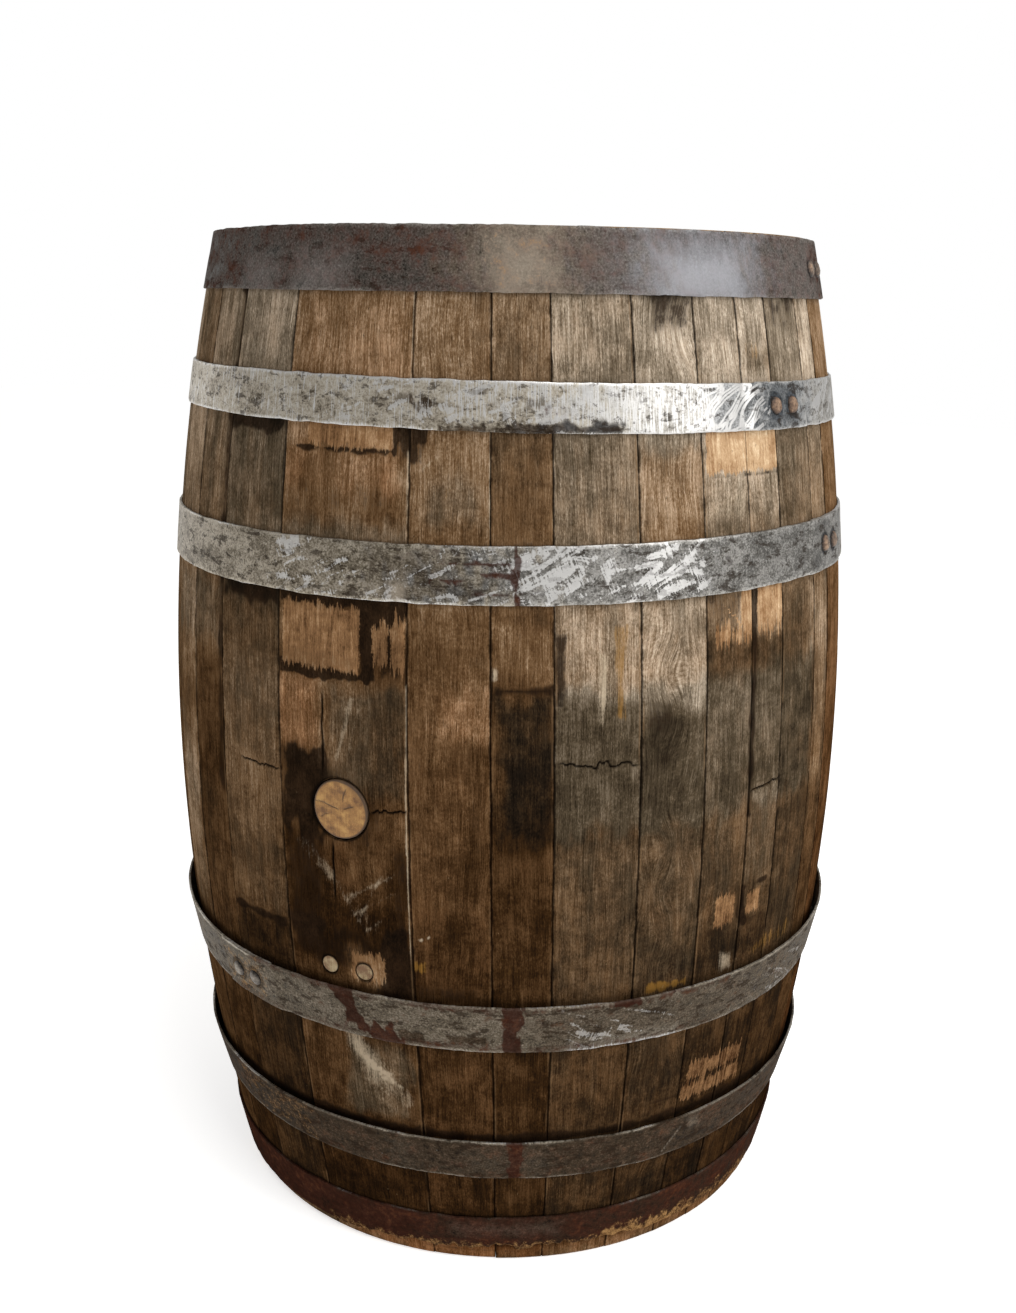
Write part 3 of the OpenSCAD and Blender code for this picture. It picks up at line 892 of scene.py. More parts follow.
def board_piece(node, seed, inside_up):
    """One head board. Across is a loop over the top face and back under the bottom one, and
    rows run along the chord that the round rim leaves at each place across. The faces slope
    to the rim, and the joints are slightly rounded."""
    low, high = (np.array(corner) * 1000 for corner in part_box(node))
    left = max(low[0] + board_gap / 2, 0.5 - rim_r)
    right = min(high[0] - board_gap / 2, rim_r - 0.5)
    edges = np.array([0, 0.4, 1.0, 1.8, 3.0])
    over = np.concatenate([left + edges, np.arange(left + 7, right - 6, 4), right - edges[::-1]])
    along = np.concatenate(
        [np.linspace(-1, -0.8, 16), np.linspace(-0.8, 0.8, 72)[1:-1], np.linspace(0.8, 1, 16)]
    )
    x, share = np.meshgrid(over, along)
    y = share * np.sqrt(rim_r**2 - x**2)
    fall = np.clip(np.hypot(x, y) - (rim_r - rim_bevel), 0, rim_bevel) * rim_taper
    edge = np.minimum(x - left, right - x)
    # An outermost board ends in the rim on one side and has no joint there
    unjoined = (x < 0) & (left < 1 - rim_r) | (x > 0) & (right > rim_r - 1)
    edge = np.where(unjoined, 9.0, edge)
    faces = []
    for side in (1, -1):
        sunk = 0.35 + 0.3 * lattice(seed, side, 3) + 0.2 * waves(x / 40, y / 150, seed + side)
        sunk = sunk + rounding(edge, 0.9 + 0.3 * waves(y / 40, 0, seed + 3))
        thick = (high[2] - low[2]) / 2 - fall - sunk * ease(fall, 8.5, 5)
        faces.append((low[2] + high[2]) / 2 + side * thick)
    points = np.concatenate(
        [np.stack([x, y, faces[0]], -1), np.stack([x, y, faces[1]], -1)[:, ::-1]], 1
    )
    tone = 0.5 + 0.08 * lattice(seed, 4, 3) + 0.1 * waves(x / 70, y / 90, seed + 5)
    none = np.zeros(x.shape)
    warm = none + (-0.25 + 0.3 * lattice(seed, 5, 3))
    near_rim = 0.55 * ease(np.hypot(x, y), rim_r - 45, rim_r - 8)
    stain = near_rim + 0.2 * waves(x / 60, y / 60, 77)
    unscraped = np.stack([none + unscraped_mm, none + unscraped_mm, none], -1)
    outside = [
        unscraped,
        np.stack([stain, none, 0.25 * waves(x / 90, y / 90, 78)], -1),
        np.stack([tone - 0.2 * near_rim, warm, none], -1),
        np.stack([none, edge, none], -1),
    ]
    charred = [
        unscraped,
        np.stack([none, none, none], -1),
        np.stack([tone, warm, none + 1], -1),
        np.stack([none, none + jointless_mm, none], -1),
    ]
    top, under = (charred, outside) if inside_up else (outside, charred)
    fields = {
        name: np.concatenate([top[k], under[k][:, ::-1]], 1).reshape(-1, 3)
        for k, name in enumerate(("patch", "wear", "tint", "cuts"))
    }
    uv = np.stack([x, y], -1)
    uv = np.concatenate([uv, uv[:, ::-1]], 1).reshape(-1, 2) / 1000
    uv = uv + np.array([0.41 * seed, 0.3 * seed])
    quads, caps = tube(*points.shape[:2])
    piece = add_piece("oak_" + node, points.reshape(-1, 3), quads, caps, uv, fields, head_oak)
    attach(piece, "barrel")
    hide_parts(node)


for end_number, end in enumerate(("bottom", "top")):
    for number in range(1, 7):
        board_piece(f"{end}_head_board_{number}", 50 + 10 * end_number + number, end == "bottom")


# Head dowels: turned hardwood pins glued into the edges of neighbouring head boards. They
# are hidden in the joints, so the CAD solids stay and only get their wood.
dowel_wood, dowel = new_material("dowel wood")
dowel_grain = dowel.place().noise(30, 900, 900, detail=3)
finish_material(
    dowel,
    {
        "Base Color": (0.5 + dowel_grain).ramp((0.2, 0.8), "#8a6a42", "#c8a878"),
        "Roughness": 0.65 + dowel_grain * 0.3,
        "Normal": dowel.bump(dowel_grain * 0.2),
    },
)
for end in ("bottom", "top"):
    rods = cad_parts[end + "_head_dowels"]
    rods.data.materials.clear()
    rods.data.materials.append(dowel_wood)


# Hoops: mild steel strip, bent to a slight cone, lapped and riveted, then driven down over
# the staves. Grinding has brightened two of them, and mill scale and rust darken the rest.
hoop_t = 1.8
hoop_edge_r = 0.6
hoop_fit = 0.15
hoop_lap = 72
hoop_climb = 3.0
hoop_step = 0.4
rivet_pitch = 25
photo_turn = 24.6

# Shape and wear of each hoop: the turn of its lap, the way that it runs round, its tilt, how
# far its upper edge stands off, how deep rust bites into its lower edge, and how ground,
# rusted and dark it is
hoop_columns = ("lap", "way", "tilt", "slack", "bite", "ground", "rust", "dark")
hoop_rows = {
    "top_chime_hoop": (91, 1, -1.5, 0, 0, 0.1, 0.66, 0.3),
    "top_quarter_hoop": (72, 1, -4.3, 0, 0, 0.57, 0.0, 0.0),
    "top_bilge_hoop": (86, 1, 2.5, 0, 0, 0.29, 0.05, 0.12),
    "bottom_bilge_hoop": (-21, -1, -1, 5, 0, 0.12, 0.26, 0.57),
    "bottom_quarter_hoop": (148, 1, -1, 4, 0, 0.04, 0.38, 0.95),
    "bottom_chime_hoop": (-132, -1, 4, 0, 11, 0.0, 0.7, 1.1),
}
hoop_table = {name: dict(zip(hoop_columns, row)) for name, row in hoop_rows.items()}

# Edges of hoop marks: how far they fade, as a share of the mark's smaller side, and how ragged
# they are
mark_edges = {"bloom_and_sheen": (0.5, 0.3), "dark": (0.2, 1.9), "rust": (0.18, 2.0)}
plain_edge = (0.28, 1.2)

# Wear and painted light by hoop: ground bright, swept by slanted strokes, looped by a sander, blued,
# dark with scale, rusted, bloomed with pale haze and painted reflections, or sandy. A row has the kind,
# left and right turn, low and high share of the width, lean in degrees over the width, and strength
hoop_marks = {
    "top_chime_hoop": [
        ("bloom_and_sheen", -200, 250, -0.9, 1.9, 0, 0.12),
        # Painted reflections of the lamps: a bluish sheen left of the bung
        ("bloom_and_sheen", -26, -16, -0.2, 0.55, 0, 0.28),
        ("bloom_and_sheen", -13, -2, -0.2, 0.6, 0, 0.3),
        # Painted reflections of the lamps: a warm highlight, strongest about 20 to 31 degrees
        ("bloom_and_sheen", 13, 35, -0.3, 1.1, 0, 0.16),
        ("bloom_and_sheen", 20.5, 30.5, -0.3, 1.0, 0, 0.4),
        # Painted shade of a small punched slot, which has no geometry
        ("dark", 51.8, 52.9, 0.34, 0.52, 0, 1.6),
        # A warm tint for the painted highlight
        ("sand", 19, 31, -0.1, 1.0, 0, 0.2),
        ("blued", -200, 250, -3, 4, 0, 0.52),
        # The next two rows tint the painted reflections: warmer about 16 to 35 degrees, cooler about 44
        # to 70
        ("blued", 16, 35, -1, 2, 0, -0.4),
        ("blued", 44, 70, -1, 2, 0, 0.3),
        # Painted reflections of the lamps: a bluish white glare from about 33 to 92 degrees, strongest
        # about 45 to 68
        ("bloom_and_sheen", 50, 63, 0.0, 0.6, 0, 0.24),
        ("bloom_and_sheen", 33, 92, -0.4, 1.3, 0, 0.2),
        ("bloom_and_sheen", 45, 68, -0.4, 0.95, 0, 0.4),
    ],
    "top_quarter_hoop": [
        ("ground", 16, 36, -0.1, 1.1, 0, 0.08),
        ("ground", 34, 57, -0.1, 1.1, 0, 0.17),
        ("swept", -4, 37, 0.05, 1.1, 0, 0.8),
        ("blued", 30, 110, -3, 4, 0, 0.55),
        ("blued", 56, 80, -0.5, 1.5, 0, 0.6),
        ("loops", 52, 67, -0.4, 1.4, 0, 1.1),
        ("ground", 57, 66, -0.1, 1.1, 0, -0.24),
        ("dark", 65.5, 76.5, -0.2, 1.2, 0, 0.64),
        ("ground", 65.5, 76.5, -0.2, 1.2, 0, -0.3),
        ("swept", 78, 98, -0.1, 1.1, 0, 1.0),
        ("ground", 78, 98, -0.1, 1.1, 0, 0.02),
        ("dark", 14, 31, -0.2, 0.11, 0, 0.9),
        ("dark", 25, 41.5, -0.2, 0.2, 0, 0.95),
        ("ground", 14, 41.5, -0.3, 0.18, 0, -0.45),
        ("dark", 10.4, 12.8, 0.32, 0.6, 0, 0.9),
        ("dark", 12.4, 16.5, 0.44, 0.56, 0, 0.6),
        ("dark", 7.6, 9.8, 0.5, 0.7, 0, 0.7),
        ("dark", 26.5, 30, 0.4, 0.68, -2, 0.7),
        ("dark", 19.5, 21.5, 0.7, 0.88, 0, 0.7),
        ("rust", 29, 34, 0.3, 0.55, 0, 0.45),
        ("dark", -32, -20, 0.45, 1.1, 0, 0.35),
    ],
    "top_bilge_hoop": [
        ("ground", -6, 25, -0.1, 1.1, 0, -0.1),
        ("swept", -12, 55, -0.1, 1.1, 0, 0.78),
        ("blued", 16, 110, -3, 4, 0, 0.62),
        ("swept", 26, 49, -0.1, 1.1, 0, 0.35),
        ("ground", 27, 46, -0.1, 1.1, 0, 0.12),
        # Darker to the right: painted shade that offsets the lamp's reflection there
        ("ground", 26, 95, -0.1, 1.1, 0, -0.12),
        ("dark", 40, 95, -0.1, 1.1, 0, 0.14),
        ("dark", 5, 20, -0.1, 1.1, 0, 0.3),
        ("rust", 25.2, 26.0, -0.1, 1.1, 0, 1.0),
        ("rust", 16, 25, 0.66, 0.74, 0, 0.75),
        ("rust", 20, 25.4, 0.46, 0.56, 0, 0.75),
        ("rust", 13.5, 19, 0.36, 0.44, 0, 0.7),
        ("rust", 19, 25.4, 0.14, 0.24, 0, 0.7),
        ("dark", -12, 58, -0.1, 1.1, 0, 0.14),
        ("bloom_and_sheen", 7.6, 10.2, 0.0, 0.34, 0, 0.8),
    ],
    "bottom_bilge_hoop": [
        ("rust", 24.8, 27.0, -0.1, 1.1, 0, 1.0),
        ("rust", -0.6, 2.2, 0.3, 1.1, -3, 1.0),
        ("rust", 1.6, 6.6, -0.15, 0.34, -5, 1.0),
        ("dark", 8.6, 12.5, 0.12, 0.3, 0, 0.5),
        ("dark", 15.5, 21, 0.2, 0.32, -4, 0.5),
        ("dark", 30, 95, -0.1, 1.1, 0, 0.14),
        ("rust", -20, 62, 0.9, 1.1, 0, 0.35),
        ("ground", 34, 53, -0.1, 0.24, 0, 0.4),
        ("swept", 34, 52, -0.2, 0.8, 0, 0.58),
        ("swept", 66, 84, -0.1, 0.7, 0, 0.5),
        ("rust", -30, 60, -0.1, 0.16, 0, 0.25),
        ("rust", 41.5, 45.5, 0.9, 1.1, 0, 0.7),
        ("bloom_and_sheen", -27, -15, 0.1, 0.9, 0, 0.3),
        ("sand", -28, -16, 0.0, 1.0, 0, 0.28),
    ],
    "bottom_quarter_hoop": [
        ("rust", 26, 27.6, -0.1, 1.1, 0, 0.8),
        ("bloom_and_sheen", 4, 34, 0.0, 1.0, 0, 0.16),
        ("sand", -30, -9, -0.1, 1.1, 0, 0.24),
        ("dark", 10, 18, 0.3, 0.9, 0, 0.3),
        ("dark", 4, 34, 0.0, 1.0, 0, -0.12),
        ("bloom_and_sheen", 55.2, 55.7, 0.1, 0.72, 5, 0.6),
        ("bloom_and_sheen", 58.6, 61.5, 0.5, 0.9, -4, 0.35),
    ],
    "bottom_chime_hoop": [
        ("bloom_and_sheen", 14, 36, 0.35, 0.95, 0, 0.22),
        ("rust", -45, 8, -0.1, 1.1, 0, 0.15),
        ("sand", -10, 60, -0.4, 0.2, 0, 0.4),
        ("sand", 44, 86, -0.4, 0.35, 0, 0.36),
    ],
}


def hoop_place(name, turn, share, layer):
    """Radius and height on a hoop's inner face: a cone that touches the bent staves halfway
    up the strip, tilted a little, raised by whole or part layers and by any slack."""
    shape = hoop_table[name]
    low, high = hoop_span(name)
    middle = (low + high) / 2 + shape["tilt"] * np.sin(np.radians(turn - photo_turn))
    z = middle + (share - 0.5) * (high - low)
    radius = outer_radius(middle) + hoop_fit + outer_slope(middle) * (z - middle)
    return radius + shape["slack"] * share + hoop_t * layer, z


def rivet_turn(name, side):
    """The turn of one of the two rivets in a hoop's lap."""
    middle_r = outer_radius(sum(hoop_span(name)) / 2)
    return hoop_table[name]["lap"] + side * np.degrees(rivet_pitch / 2 / middle_r)


def hoop_wear_and_light(name, turn, share, width, seed):
    """The wear and painted light at each point of a hoop: what the whole hoop has, bright edges,
    partly worn and partly a painted highlight, its marks, each fading over a ragged edge, and a
    painted shadow ring round each rivet."""
    shape = hoop_table[name]
    found = {kind: np.full(share.shape, shape[kind], float) for kind in ("ground", "rust", "dark")}
    for kind in ("swept", "bloom_and_sheen", "sand", "blued", "loops"):
        found[kind] = np.zeros(share.shape)
    # Bright along both edges: partly wear, partly a painted highlight on the rounded edge
    worn_and_lit_edge = ease(np.abs(share - 0.5), 0.465, 0.5)
    worn_and_lit_edge = worn_and_lit_edge * (0.55 + 0.45 * waves(turn / 6, share, seed + 8))
    found["ground"] += 0.7 * worn_and_lit_edge
    found["dark"] -= 0.6 * worn_and_lit_edge
    ragged = 0.5 * waves(turn / 1.2, share * 5, seed + 4) + 0.5 * waves(turn / 0.45, share * 9, seed + 5)
    # Turns beyond the lap are brought back to within half a turn of the photo's angle
    face_turn = (turn + 180 - photo_turn) % 360 - 180 + photo_turn
    for kind, left, right, bottom, top, slant, strength in hoop_marks[name]:
        leaned = face_turn - slant * (share - 0.5)
        across = np.minimum(leaned - left, right - leaned) * arc_mm
        inside = np.minimum(across, np.minimum(share - bottom, top - share) * width)
        fade, rough = mark_edges.get(kind, plain_edge)
        soft = 0.6 + fade * min((right - left) * arc_mm, (top - bottom) * width)
        found[kind] = found[kind] + strength * ease(inside + ragged * soft * rough, -soft, soft)
    # A painted shadow ring round each rivet head, laid into the dark of the scale
    for side in (-1, 1):
        off = np.hypot((face_turn - rivet_turn(name, side)) * arc_mm, (share - 0.5) * width)
        found["dark"] += 1.1 * ease(off, 12, 7.5)
    return found


def hoop_piece(name, seed, material):
    """A hoop as one strip. Its section is a loop with rounded corners, carried once round
    the barrel and on over its own start, which it climbs by one thickness."""
    shape = hoop_table[name]
    low, high = hoop_span(name)
    width = high - low
    lap_turn = np.degrees(hoop_lap / outer_radius((low + high) / 2))
    corner = hoop_edge_r / width
    outer_share = np.concatenate([[0, corner * 0.3, corner], np.linspace(corner, 1 - corner, 18)[1:-1]])
    outer_share = np.concatenate([outer_share, [1 - corner, 1 - corner * 0.3, 1]])
    outer_lift = hoop_t - rounding(np.minimum(outer_share, 1 - outer_share) * width, hoop_edge_r)
    share = np.concatenate([outer_share, [1, 0.5, 0]])
    lift = np.concatenate([outer_lift, [0, 0, 0]])
    gone = np.concatenate([np.arange(0, 360 + lap_turn, hoop_step), [360 + lap_turn]])
    share, gone = np.meshgrid(share, gone)
    lift = np.broadcast_to(lift, share.shape)
    turn = shape["lap"] + shape["way"] * (gone - lap_turn / 2)
    layer = ease(gone, 360 - hoop_climb, 360 - 0.3)
    radius, z = hoop_place(name, turn, share, layer * 1.03)
    rim = 0.5 * waves(turn / 3.1, 0, seed) + 0.3 * waves(turn / 0.9, 0, seed + 1)
    front = 0.2 + 0.8 * ease(np.cos(np.radians(turn - photo_turn)), 0.86, 0.98)
    bite = shape["bite"] * front * (0.6 + 0.3 * waves(turn / 4, 0, seed + 6))
    bite = bite * (1 + 0.4 * waves(turn / 1.1, 0, seed + 7))
    z = z + rim * (2 * share - 1) * 0.8 + bite * (1 - share) ** 3
    dent = 0.28 * (1 + waves(turn / 2.4, share * 3, seed + 2))
    dent = dent + 0.15 * (1 + waves(turn / 0.8, share * 6, seed + 3))
    radius = radius + lift + dent * ease(lift, 0, 0.5) * 0.5
    found = hoop_wear_and_light(name, turn, share, width, seed)
    found["share"] = share
    fields = {
        "finish": ("ground", "rust", "dark"),
        "scuff": ("swept", "bloom_and_sheen", "sand"),
        "sheen": ("blued", "loops", "share"),
    }
    # Rows always run to the right, so that the faces point out
    way = shape["way"]
    points = spot(turn, radius, z)[::way].reshape(-1, 3)
    uv = np.stack([gone * arc_mm, share * width], -1)[::way].reshape(-1, 2) / 1000
    uv = uv + np.array([0, 0.7 * seed])
    fields = {
        field: np.stack([found[kind] for kind in kinds], -1)[::way].reshape(-1, 3)
        for field, kinds in fields.items()
    }
    quads, caps = tube(*share.shape)
    quads = quads[..., ::-1]
    caps = [cap[::-1] for cap in caps]
    piece = add_piece("steel_" + name, points, quads, caps, uv, fields, material)
    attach(piece, "barrel")
    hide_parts(name)


def steel_material(name):
    """Worn strip steel. How far it is ground picks a grey on a warm or a cool row, brightened
    by strokes across the strip, slanted sweeps and sander loops. Blots, black scale with painted
    shadow rings round the rivets and a painted slot shade, pocks, pits and bright nicks lie over
    it, then rust, pale haze with painted reflections of the lamps, and sand."""
    material, steel = new_material(name)
    uv = steel.grain()
    ground, rust, dark = steel.field("finish")
    swept, bloom_and_sheen, sand = steel.field("scuff")
    blued, looped, share = steel.field("sheen")
    slant = uv.turned(22)
    strokes = uv.noise(700, 40, detail=3, rough=0.65, warp=0.4)
    sweeps = slant.noise(20, 62, detail=3, rough=0.55, warp=1.8)
    ribs = slant.noise(560, 40, detail=2)
    grit = uv.noise(520, 520, detail=3, rough=0.7)
    mottle = uv.noise(150, 150, detail=5, rough=0.65)
    stains = uv.noise(28, 45, detail=4, rough=0.6)
    pits = uv.noise(330, 330, detail=3).ease(0.12, 0.22)
    pocks = (uv.noise(50, 110, detail=6, rough=0.72) + dark * 0.03).ease(0.045, 0.1)
    nicks = uv.noise(190, 260, detail=4, rough=0.75).ease(0.18, 0.26)
    brushed = strokes * ground.ease(0.25, 0.75) * 2.2
    stroked = (ground + brushed + mottle * 0.6 + stains * 0.4).ease(0.66, 0.82)
    slashed = (sweeps + ribs * 0.35 + grit * 0.2 + swept * 0.16).ease(0.17, 0.22) * swept.least(1)
    along = uv.node("SeparateXYZ", {}, {0: uv}, "X") + uv.noise(30, 30, detail=1) * 0.02
    # Sander loops are rows of slanted ellipses: pitch, start and lean in metres along the strip,
    # middle and half height as shares of its width
    loop_rows = ((0.027, 0.0, 0.5, 0.52), (0.033, 0.011, 0.55, 0.44), (0.025, 0.019, 0.42, 0.47))
    loop_lean = 0.042
    loops = 0.0
    for pitch, start, middle, half in loop_rows:
        place = along + start - share * loop_lean
        over = (place.maths("FLOORED_MODULO", place, pitch) - pitch / 2) * (2.3 / pitch)
        up = (share + stains * 0.2 - middle) * (1 / half)
        off = over * over + up * up - 1
        loops = (off * off).ease(0.07, 0.015).most(loops)
    scrawl = loops * (looped + stains * 0.8 + grit * 0.8).ease(0.45, 0.75)
    bright = stroked.most(slashed).most(scrawl)
    level = 0.4 + ground * 0.58 + grit * 1.1 + mottle * 1.0 + stains * 0.9
    scale = level.ramp((0.1, 0.45, 0.7, 1.0), "#2b251e", "#6d6456", "#a69d8e", "#c2bbae")
    cool_scale = level.ramp((0.1, 0.45, 0.7, 1.0), "#222222", "#636464", "#9b9b9a", "#bebebd")
    cool = (blued + mottle * 0.25).ease(0.0, 1.0)
    colour = bright.mix(cool.mix(scale, cool_scale), "#cbc9c6")
    blots = (stains * 0.8 + mottle * 0.8 + grit * 0.3).ease(0.13, 0.2)
    colour = (blots * 0.7).mix(colour, "#3d352f")
    # Dark scale, which also carries the painted shadow rings round the rivets and the painted slot shade
    scale_and_shade = (dark + mottle * 0.6 + stains * 0.6).ease(0.15, 0.95) * (1 - bright * 0.65)
    soil_level = 0.5 + mottle * 1.2 + stains * 0.6 + grit * 0.8
    soil_and_shade = soil_level.ramp((0.2, 0.6, 0.95), "#130d09", "#35281b", "#685542")
    slate_level = 0.5 + mottle * 1.0 + stains * 0.5 + grit * 0.6
    slate = slate_level.ramp((0.2, 0.6, 0.95), "#14171a", "#363b40", "#646a70")
    colour = (scale_and_shade * 0.9).mix(colour, cool.mix(soil_and_shade, slate))
    colour = (pocks * 0.75 * (1 - bright * 0.5)).mix(colour, "#261d15")
    colour = (pits * 0.75 * (1 - bright * 0.55)).mix(colour, "#1d1815")
    colour = (nicks * 0.7).mix(colour, "#c9c5bd")
    rusted = (rust + mottle * 0.7 + stains * 0.8).ease(0.3, 0.85)
    rust_level = 0.5 + mottle * 0.7 + stains * 0.6 + grit * 0.15
    rust_colour = rust_level.ramp((0.2, 0.55, 0.85), "#180d09", "#341c14", "#5a3420")
    colour = (rusted * 0.9).mix(colour, rust_colour)
    # Pale haze, and on the top chime hoop painted reflections of the lamps
    haze_and_sheen = (bloom_and_sheen + grit * 0.32 + mottle * 0.4).ease(0.05, 1.2) * bloom_and_sheen.ease(0.0, 0.3)
    colour = (haze_and_sheen * 0.72).mix(colour, cool.mix("#b5a896", "#a9abb1"))
    sandy = (sand + mottle * 0.9 + grit * 0.6 + stains * 0.5).ease(0.2, 0.65) * sand.ease(0.02, 0.15)
    colour = sandy.mix(colour, (0.5 + grit + mottle).ramp((0.25, 0.75), "#3f2413", "#a07c50"))
    metal = (1 - rusted * 0.9) * (1 - scale_and_shade * 0.8) * (1 - pits * 0.4) * (1 - pocks * 0.5)
    metal = metal * (1 - sandy)
    metal = metal + haze_and_sheen * 0.3 * (1 - metal)
    roughness = 0.5 - bright * 0.12 + rusted * 0.3 + mottle * 0.25 + scale_and_shade * 0.06
    height = strokes * 0.25 * bright + mottle * 0.12 - pits * 0.2 + rusted * 0.1
    finish_material(
        steel,
        {
            "Base Color": colour,
            "Metallic": metal * 0.9,
            "Roughness": roughness,
            "Specular IOR Level": 0.0,
            "Normal": steel.bump(height, 0.6),
        },
    )
    return material


hoop_steel = steel_material("hoop steel")
for number, name in enumerate(hoop_names):
    hoop_piece(name, 80 + 6 * number, hoop_steel)


# Rivets: two for each lap, soft steel, driven through both layers and hammered to a dome.
# Most have rusted more than the strip round them.
rivet_head_r = 7.25
rivet_head_h = 4
rivet_rusts = dict(zip(hoop_names, (0.5, 1.0, 0.6, 0.7, 0.5, 0.1)))
rivet_steel, rivet = new_material("rivet steel")
rivet_at = rivet.place()
rivet_mottle = rivet_at.noise(420, 420, 420, detail=4, rough=0.65)
rivet_flakes = rivet_at.noise(150, 150, 150, detail=3)
rivet_crown, rivet_rust, _ = rivet.field("finish")
# Lighter towards each crown and darker towards its foot: partly wear, partly a painted highlight and
# shade on the dome
rivet_level = 0.1 + rivet_crown * 0.6 + rivet_flakes * 0.9 + rivet_mottle
rivet_grey = rivet_level.ramp((0.1, 0.5, 0.9), "#16120f", "#5a534c", "#8f877c")
rivet_brown = rivet_level.ramp((0.1, 0.5, 0.9), "#160e0a", "#5a4332", "#9c8067")
rivet_rusted = (rivet_rust + rivet_flakes * 0.8).ease(0.2, 0.8)
finish_material(
    rivet,
    {
        "Base Color": rivet_rusted.mix(rivet_grey, rivet_brown),
        "Metallic": 0.6 - rivet_rusted * 0.5,
        "Roughness": 0.5 + rivet_rusted * 0.15,
        "Normal": rivet.bump(rivet_mottle * 0.5 + rivet_flakes * 0.4),
    },
)


def grids_piece(name, grids, field, material, smooth):
    """One object of several closed grids of rings, each with its points, UV and the vectors of
    one named field."""
    points, quads, caps, uv, values = [], [], [], [], []
    start = 0
    for grid, grid_uv, grid_values in grids:
        grid_quads, grid_caps = tube(*grid.shape[:2], start)
        points.append(grid.reshape(-1, 3))
        quads.append(grid_quads.reshape(-1, 4))
        caps += grid_caps
        uv.append(grid_uv.reshape(-1, 2))
        values.append(grid_values.reshape(-1, 3))
        start += len(points[-1])
    points, quads, uv, values = (np.concatenate(parts) for parts in (points, quads, uv, values))
    return add_piece(name, points, quads, caps, uv, {field: values}, material, smooth)


def rivet_head(name, side, number):
    """A dome as rings from its crown down a flattened circle's arc to the strip and on into it,
    leaning with the strip and hammered uneven. Returns its points, UV and looks."""
    ring = np.radians(np.linspace(0, 360, 28, endpoint=False))
    arc_fall = np.radians([10, 24, 38, 52, 66, 78, 90, 90])
    sunk = np.array([0, 0, 0, 0, 0, 0, 0, 1.5])
    spin, fall = np.meshgrid(ring, arc_fall)
    low, high = hoop_span(name)
    turn = rivet_turn(name, side)
    foot, z = hoop_place(name, turn, 0.5, 2)
    slope = outer_slope(z) + hoop_table[name]["slack"] / (high - low)
    around = np.array([np.cos(np.radians(turn)), np.sin(np.radians(turn)), 0])
    out = spot(turn, 1, -slope) / np.hypot(1, slope)
    down = np.cross(around, out)
    uneven = 1 + 0.06 * waves(np.cos(spin) * 1.6 + 9 * number, np.sin(spin) * 1.6, 31)
    wide = rivet_head_r * np.sin(fall) ** 0.9 * uneven
    tall = rivet_head_h * (np.cos(fall) * 0.85 + 0.1)
    tall = tall * (1 + 0.1 * waves(wide / 4, spin * 2 + number, 32)) - sunk[:, None]
    spread = (wide * np.cos(spin))[..., None] * around + (wide * np.sin(spin))[..., None] * down
    dome = spot(turn, foot, z) + spread + tall[..., None] * out
    rust = np.full(spin.shape, rivet_rusts[name])
    looks = np.stack([np.cos(fall), rust, np.zeros(spin.shape)], -1)
    return dome, dome[..., :2] / 1000, looks


rivet_spots = [(name, side) for name in hoop_names for side in (-1, 1)]
rivet_domes = [rivet_head(*at, number) for number, at in enumerate(rivet_spots)]
rivets = grids_piece("hammered_rivet_heads", rivet_domes, "finish", rivet_steel, 60)
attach(rivets, "barrel")
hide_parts("hoop_rivets")


# Bung: a tapered poplar plug, driven into the bunghole and sawn flush, so that its face
# shows cracked end grain. It slides straight out along the bung joint.
bung_r = 26
bung_tip_r = 23.5
bung_l = 38


def plug_grid(turn, z, face_r, tip_r, length, edge_r, seed):
    """A plug as rings from the middle of its face over a rounded rim and down its tapered
    side to the middle of its tip. The face follows the barrel. Returns its points, its UV in
    metres on the face, the share of the radius, and the depth under the face."""
    spin = np.radians(np.linspace(0, 360, 144, endpoint=False))
    face = np.concatenate([np.linspace(0.05, 0.8, 12), np.linspace(0.84, 1, 12)])
    side_r = np.linspace(face_r, tip_r, 8)[1:]
    ring_r = np.concatenate([face * face_r, side_r, [0.6 * tip_r, 0.1 * tip_r]])
    face_deep = rounding((1 - face) * face_r, edge_r)
    ring_deep = np.concatenate([face_deep, np.linspace(edge_r, length, 8)[1:], [length] * 2])
    spin, radius = np.meshgrid(spin, ring_r)
    deep = np.broadcast_to(ring_deep[:, None], radius.shape)
    is_face = np.arange(len(ring_r)) < len(face)
    side = radius * np.cos(spin)
    up = -radius * np.sin(spin)
    follow = outer_radius(z) - np.sqrt(outer_radius(z + up) ** 2 - side**2)
    depth = deep + np.where(is_face[:, None], follow, 0)
    angle = np.radians(turn)
    around = np.array([np.cos(angle), np.sin(angle), 0])
    points = spot(turn, outer_radius(z) - depth, z + up) + side[..., None] * around
    uv = np.stack([side, up], -1) / 1000 + 0.1 * seed
    return points, uv, radius / face_r, deep


def crack_rays(face_mm, rays, seed):
    """Dark cracks on a plug's face: for each ray its direction in degrees, its start and end
    as distances from the middle, and its half width, with a wandering line."""
    side, up = face_mm[..., 0], face_mm[..., 1]
    dark = np.zeros(side.shape)
    for number, (direction, start, end, half) in enumerate(rays):
        along = side * np.cos(np.radians(direction)) + up * np.sin(np.radians(direction))
        off = up * np.cos(np.radians(direction)) - side * np.sin(np.radians(direction))
        off = off + 0.7 * waves(along / 4, number, seed)
        fade = ease(np.minimum(along - start, end - along), -1, 2)
        dark = np.maximum(dark, fade * ease(np.abs(off), half + 0.7, half * 0.3))
    return dark


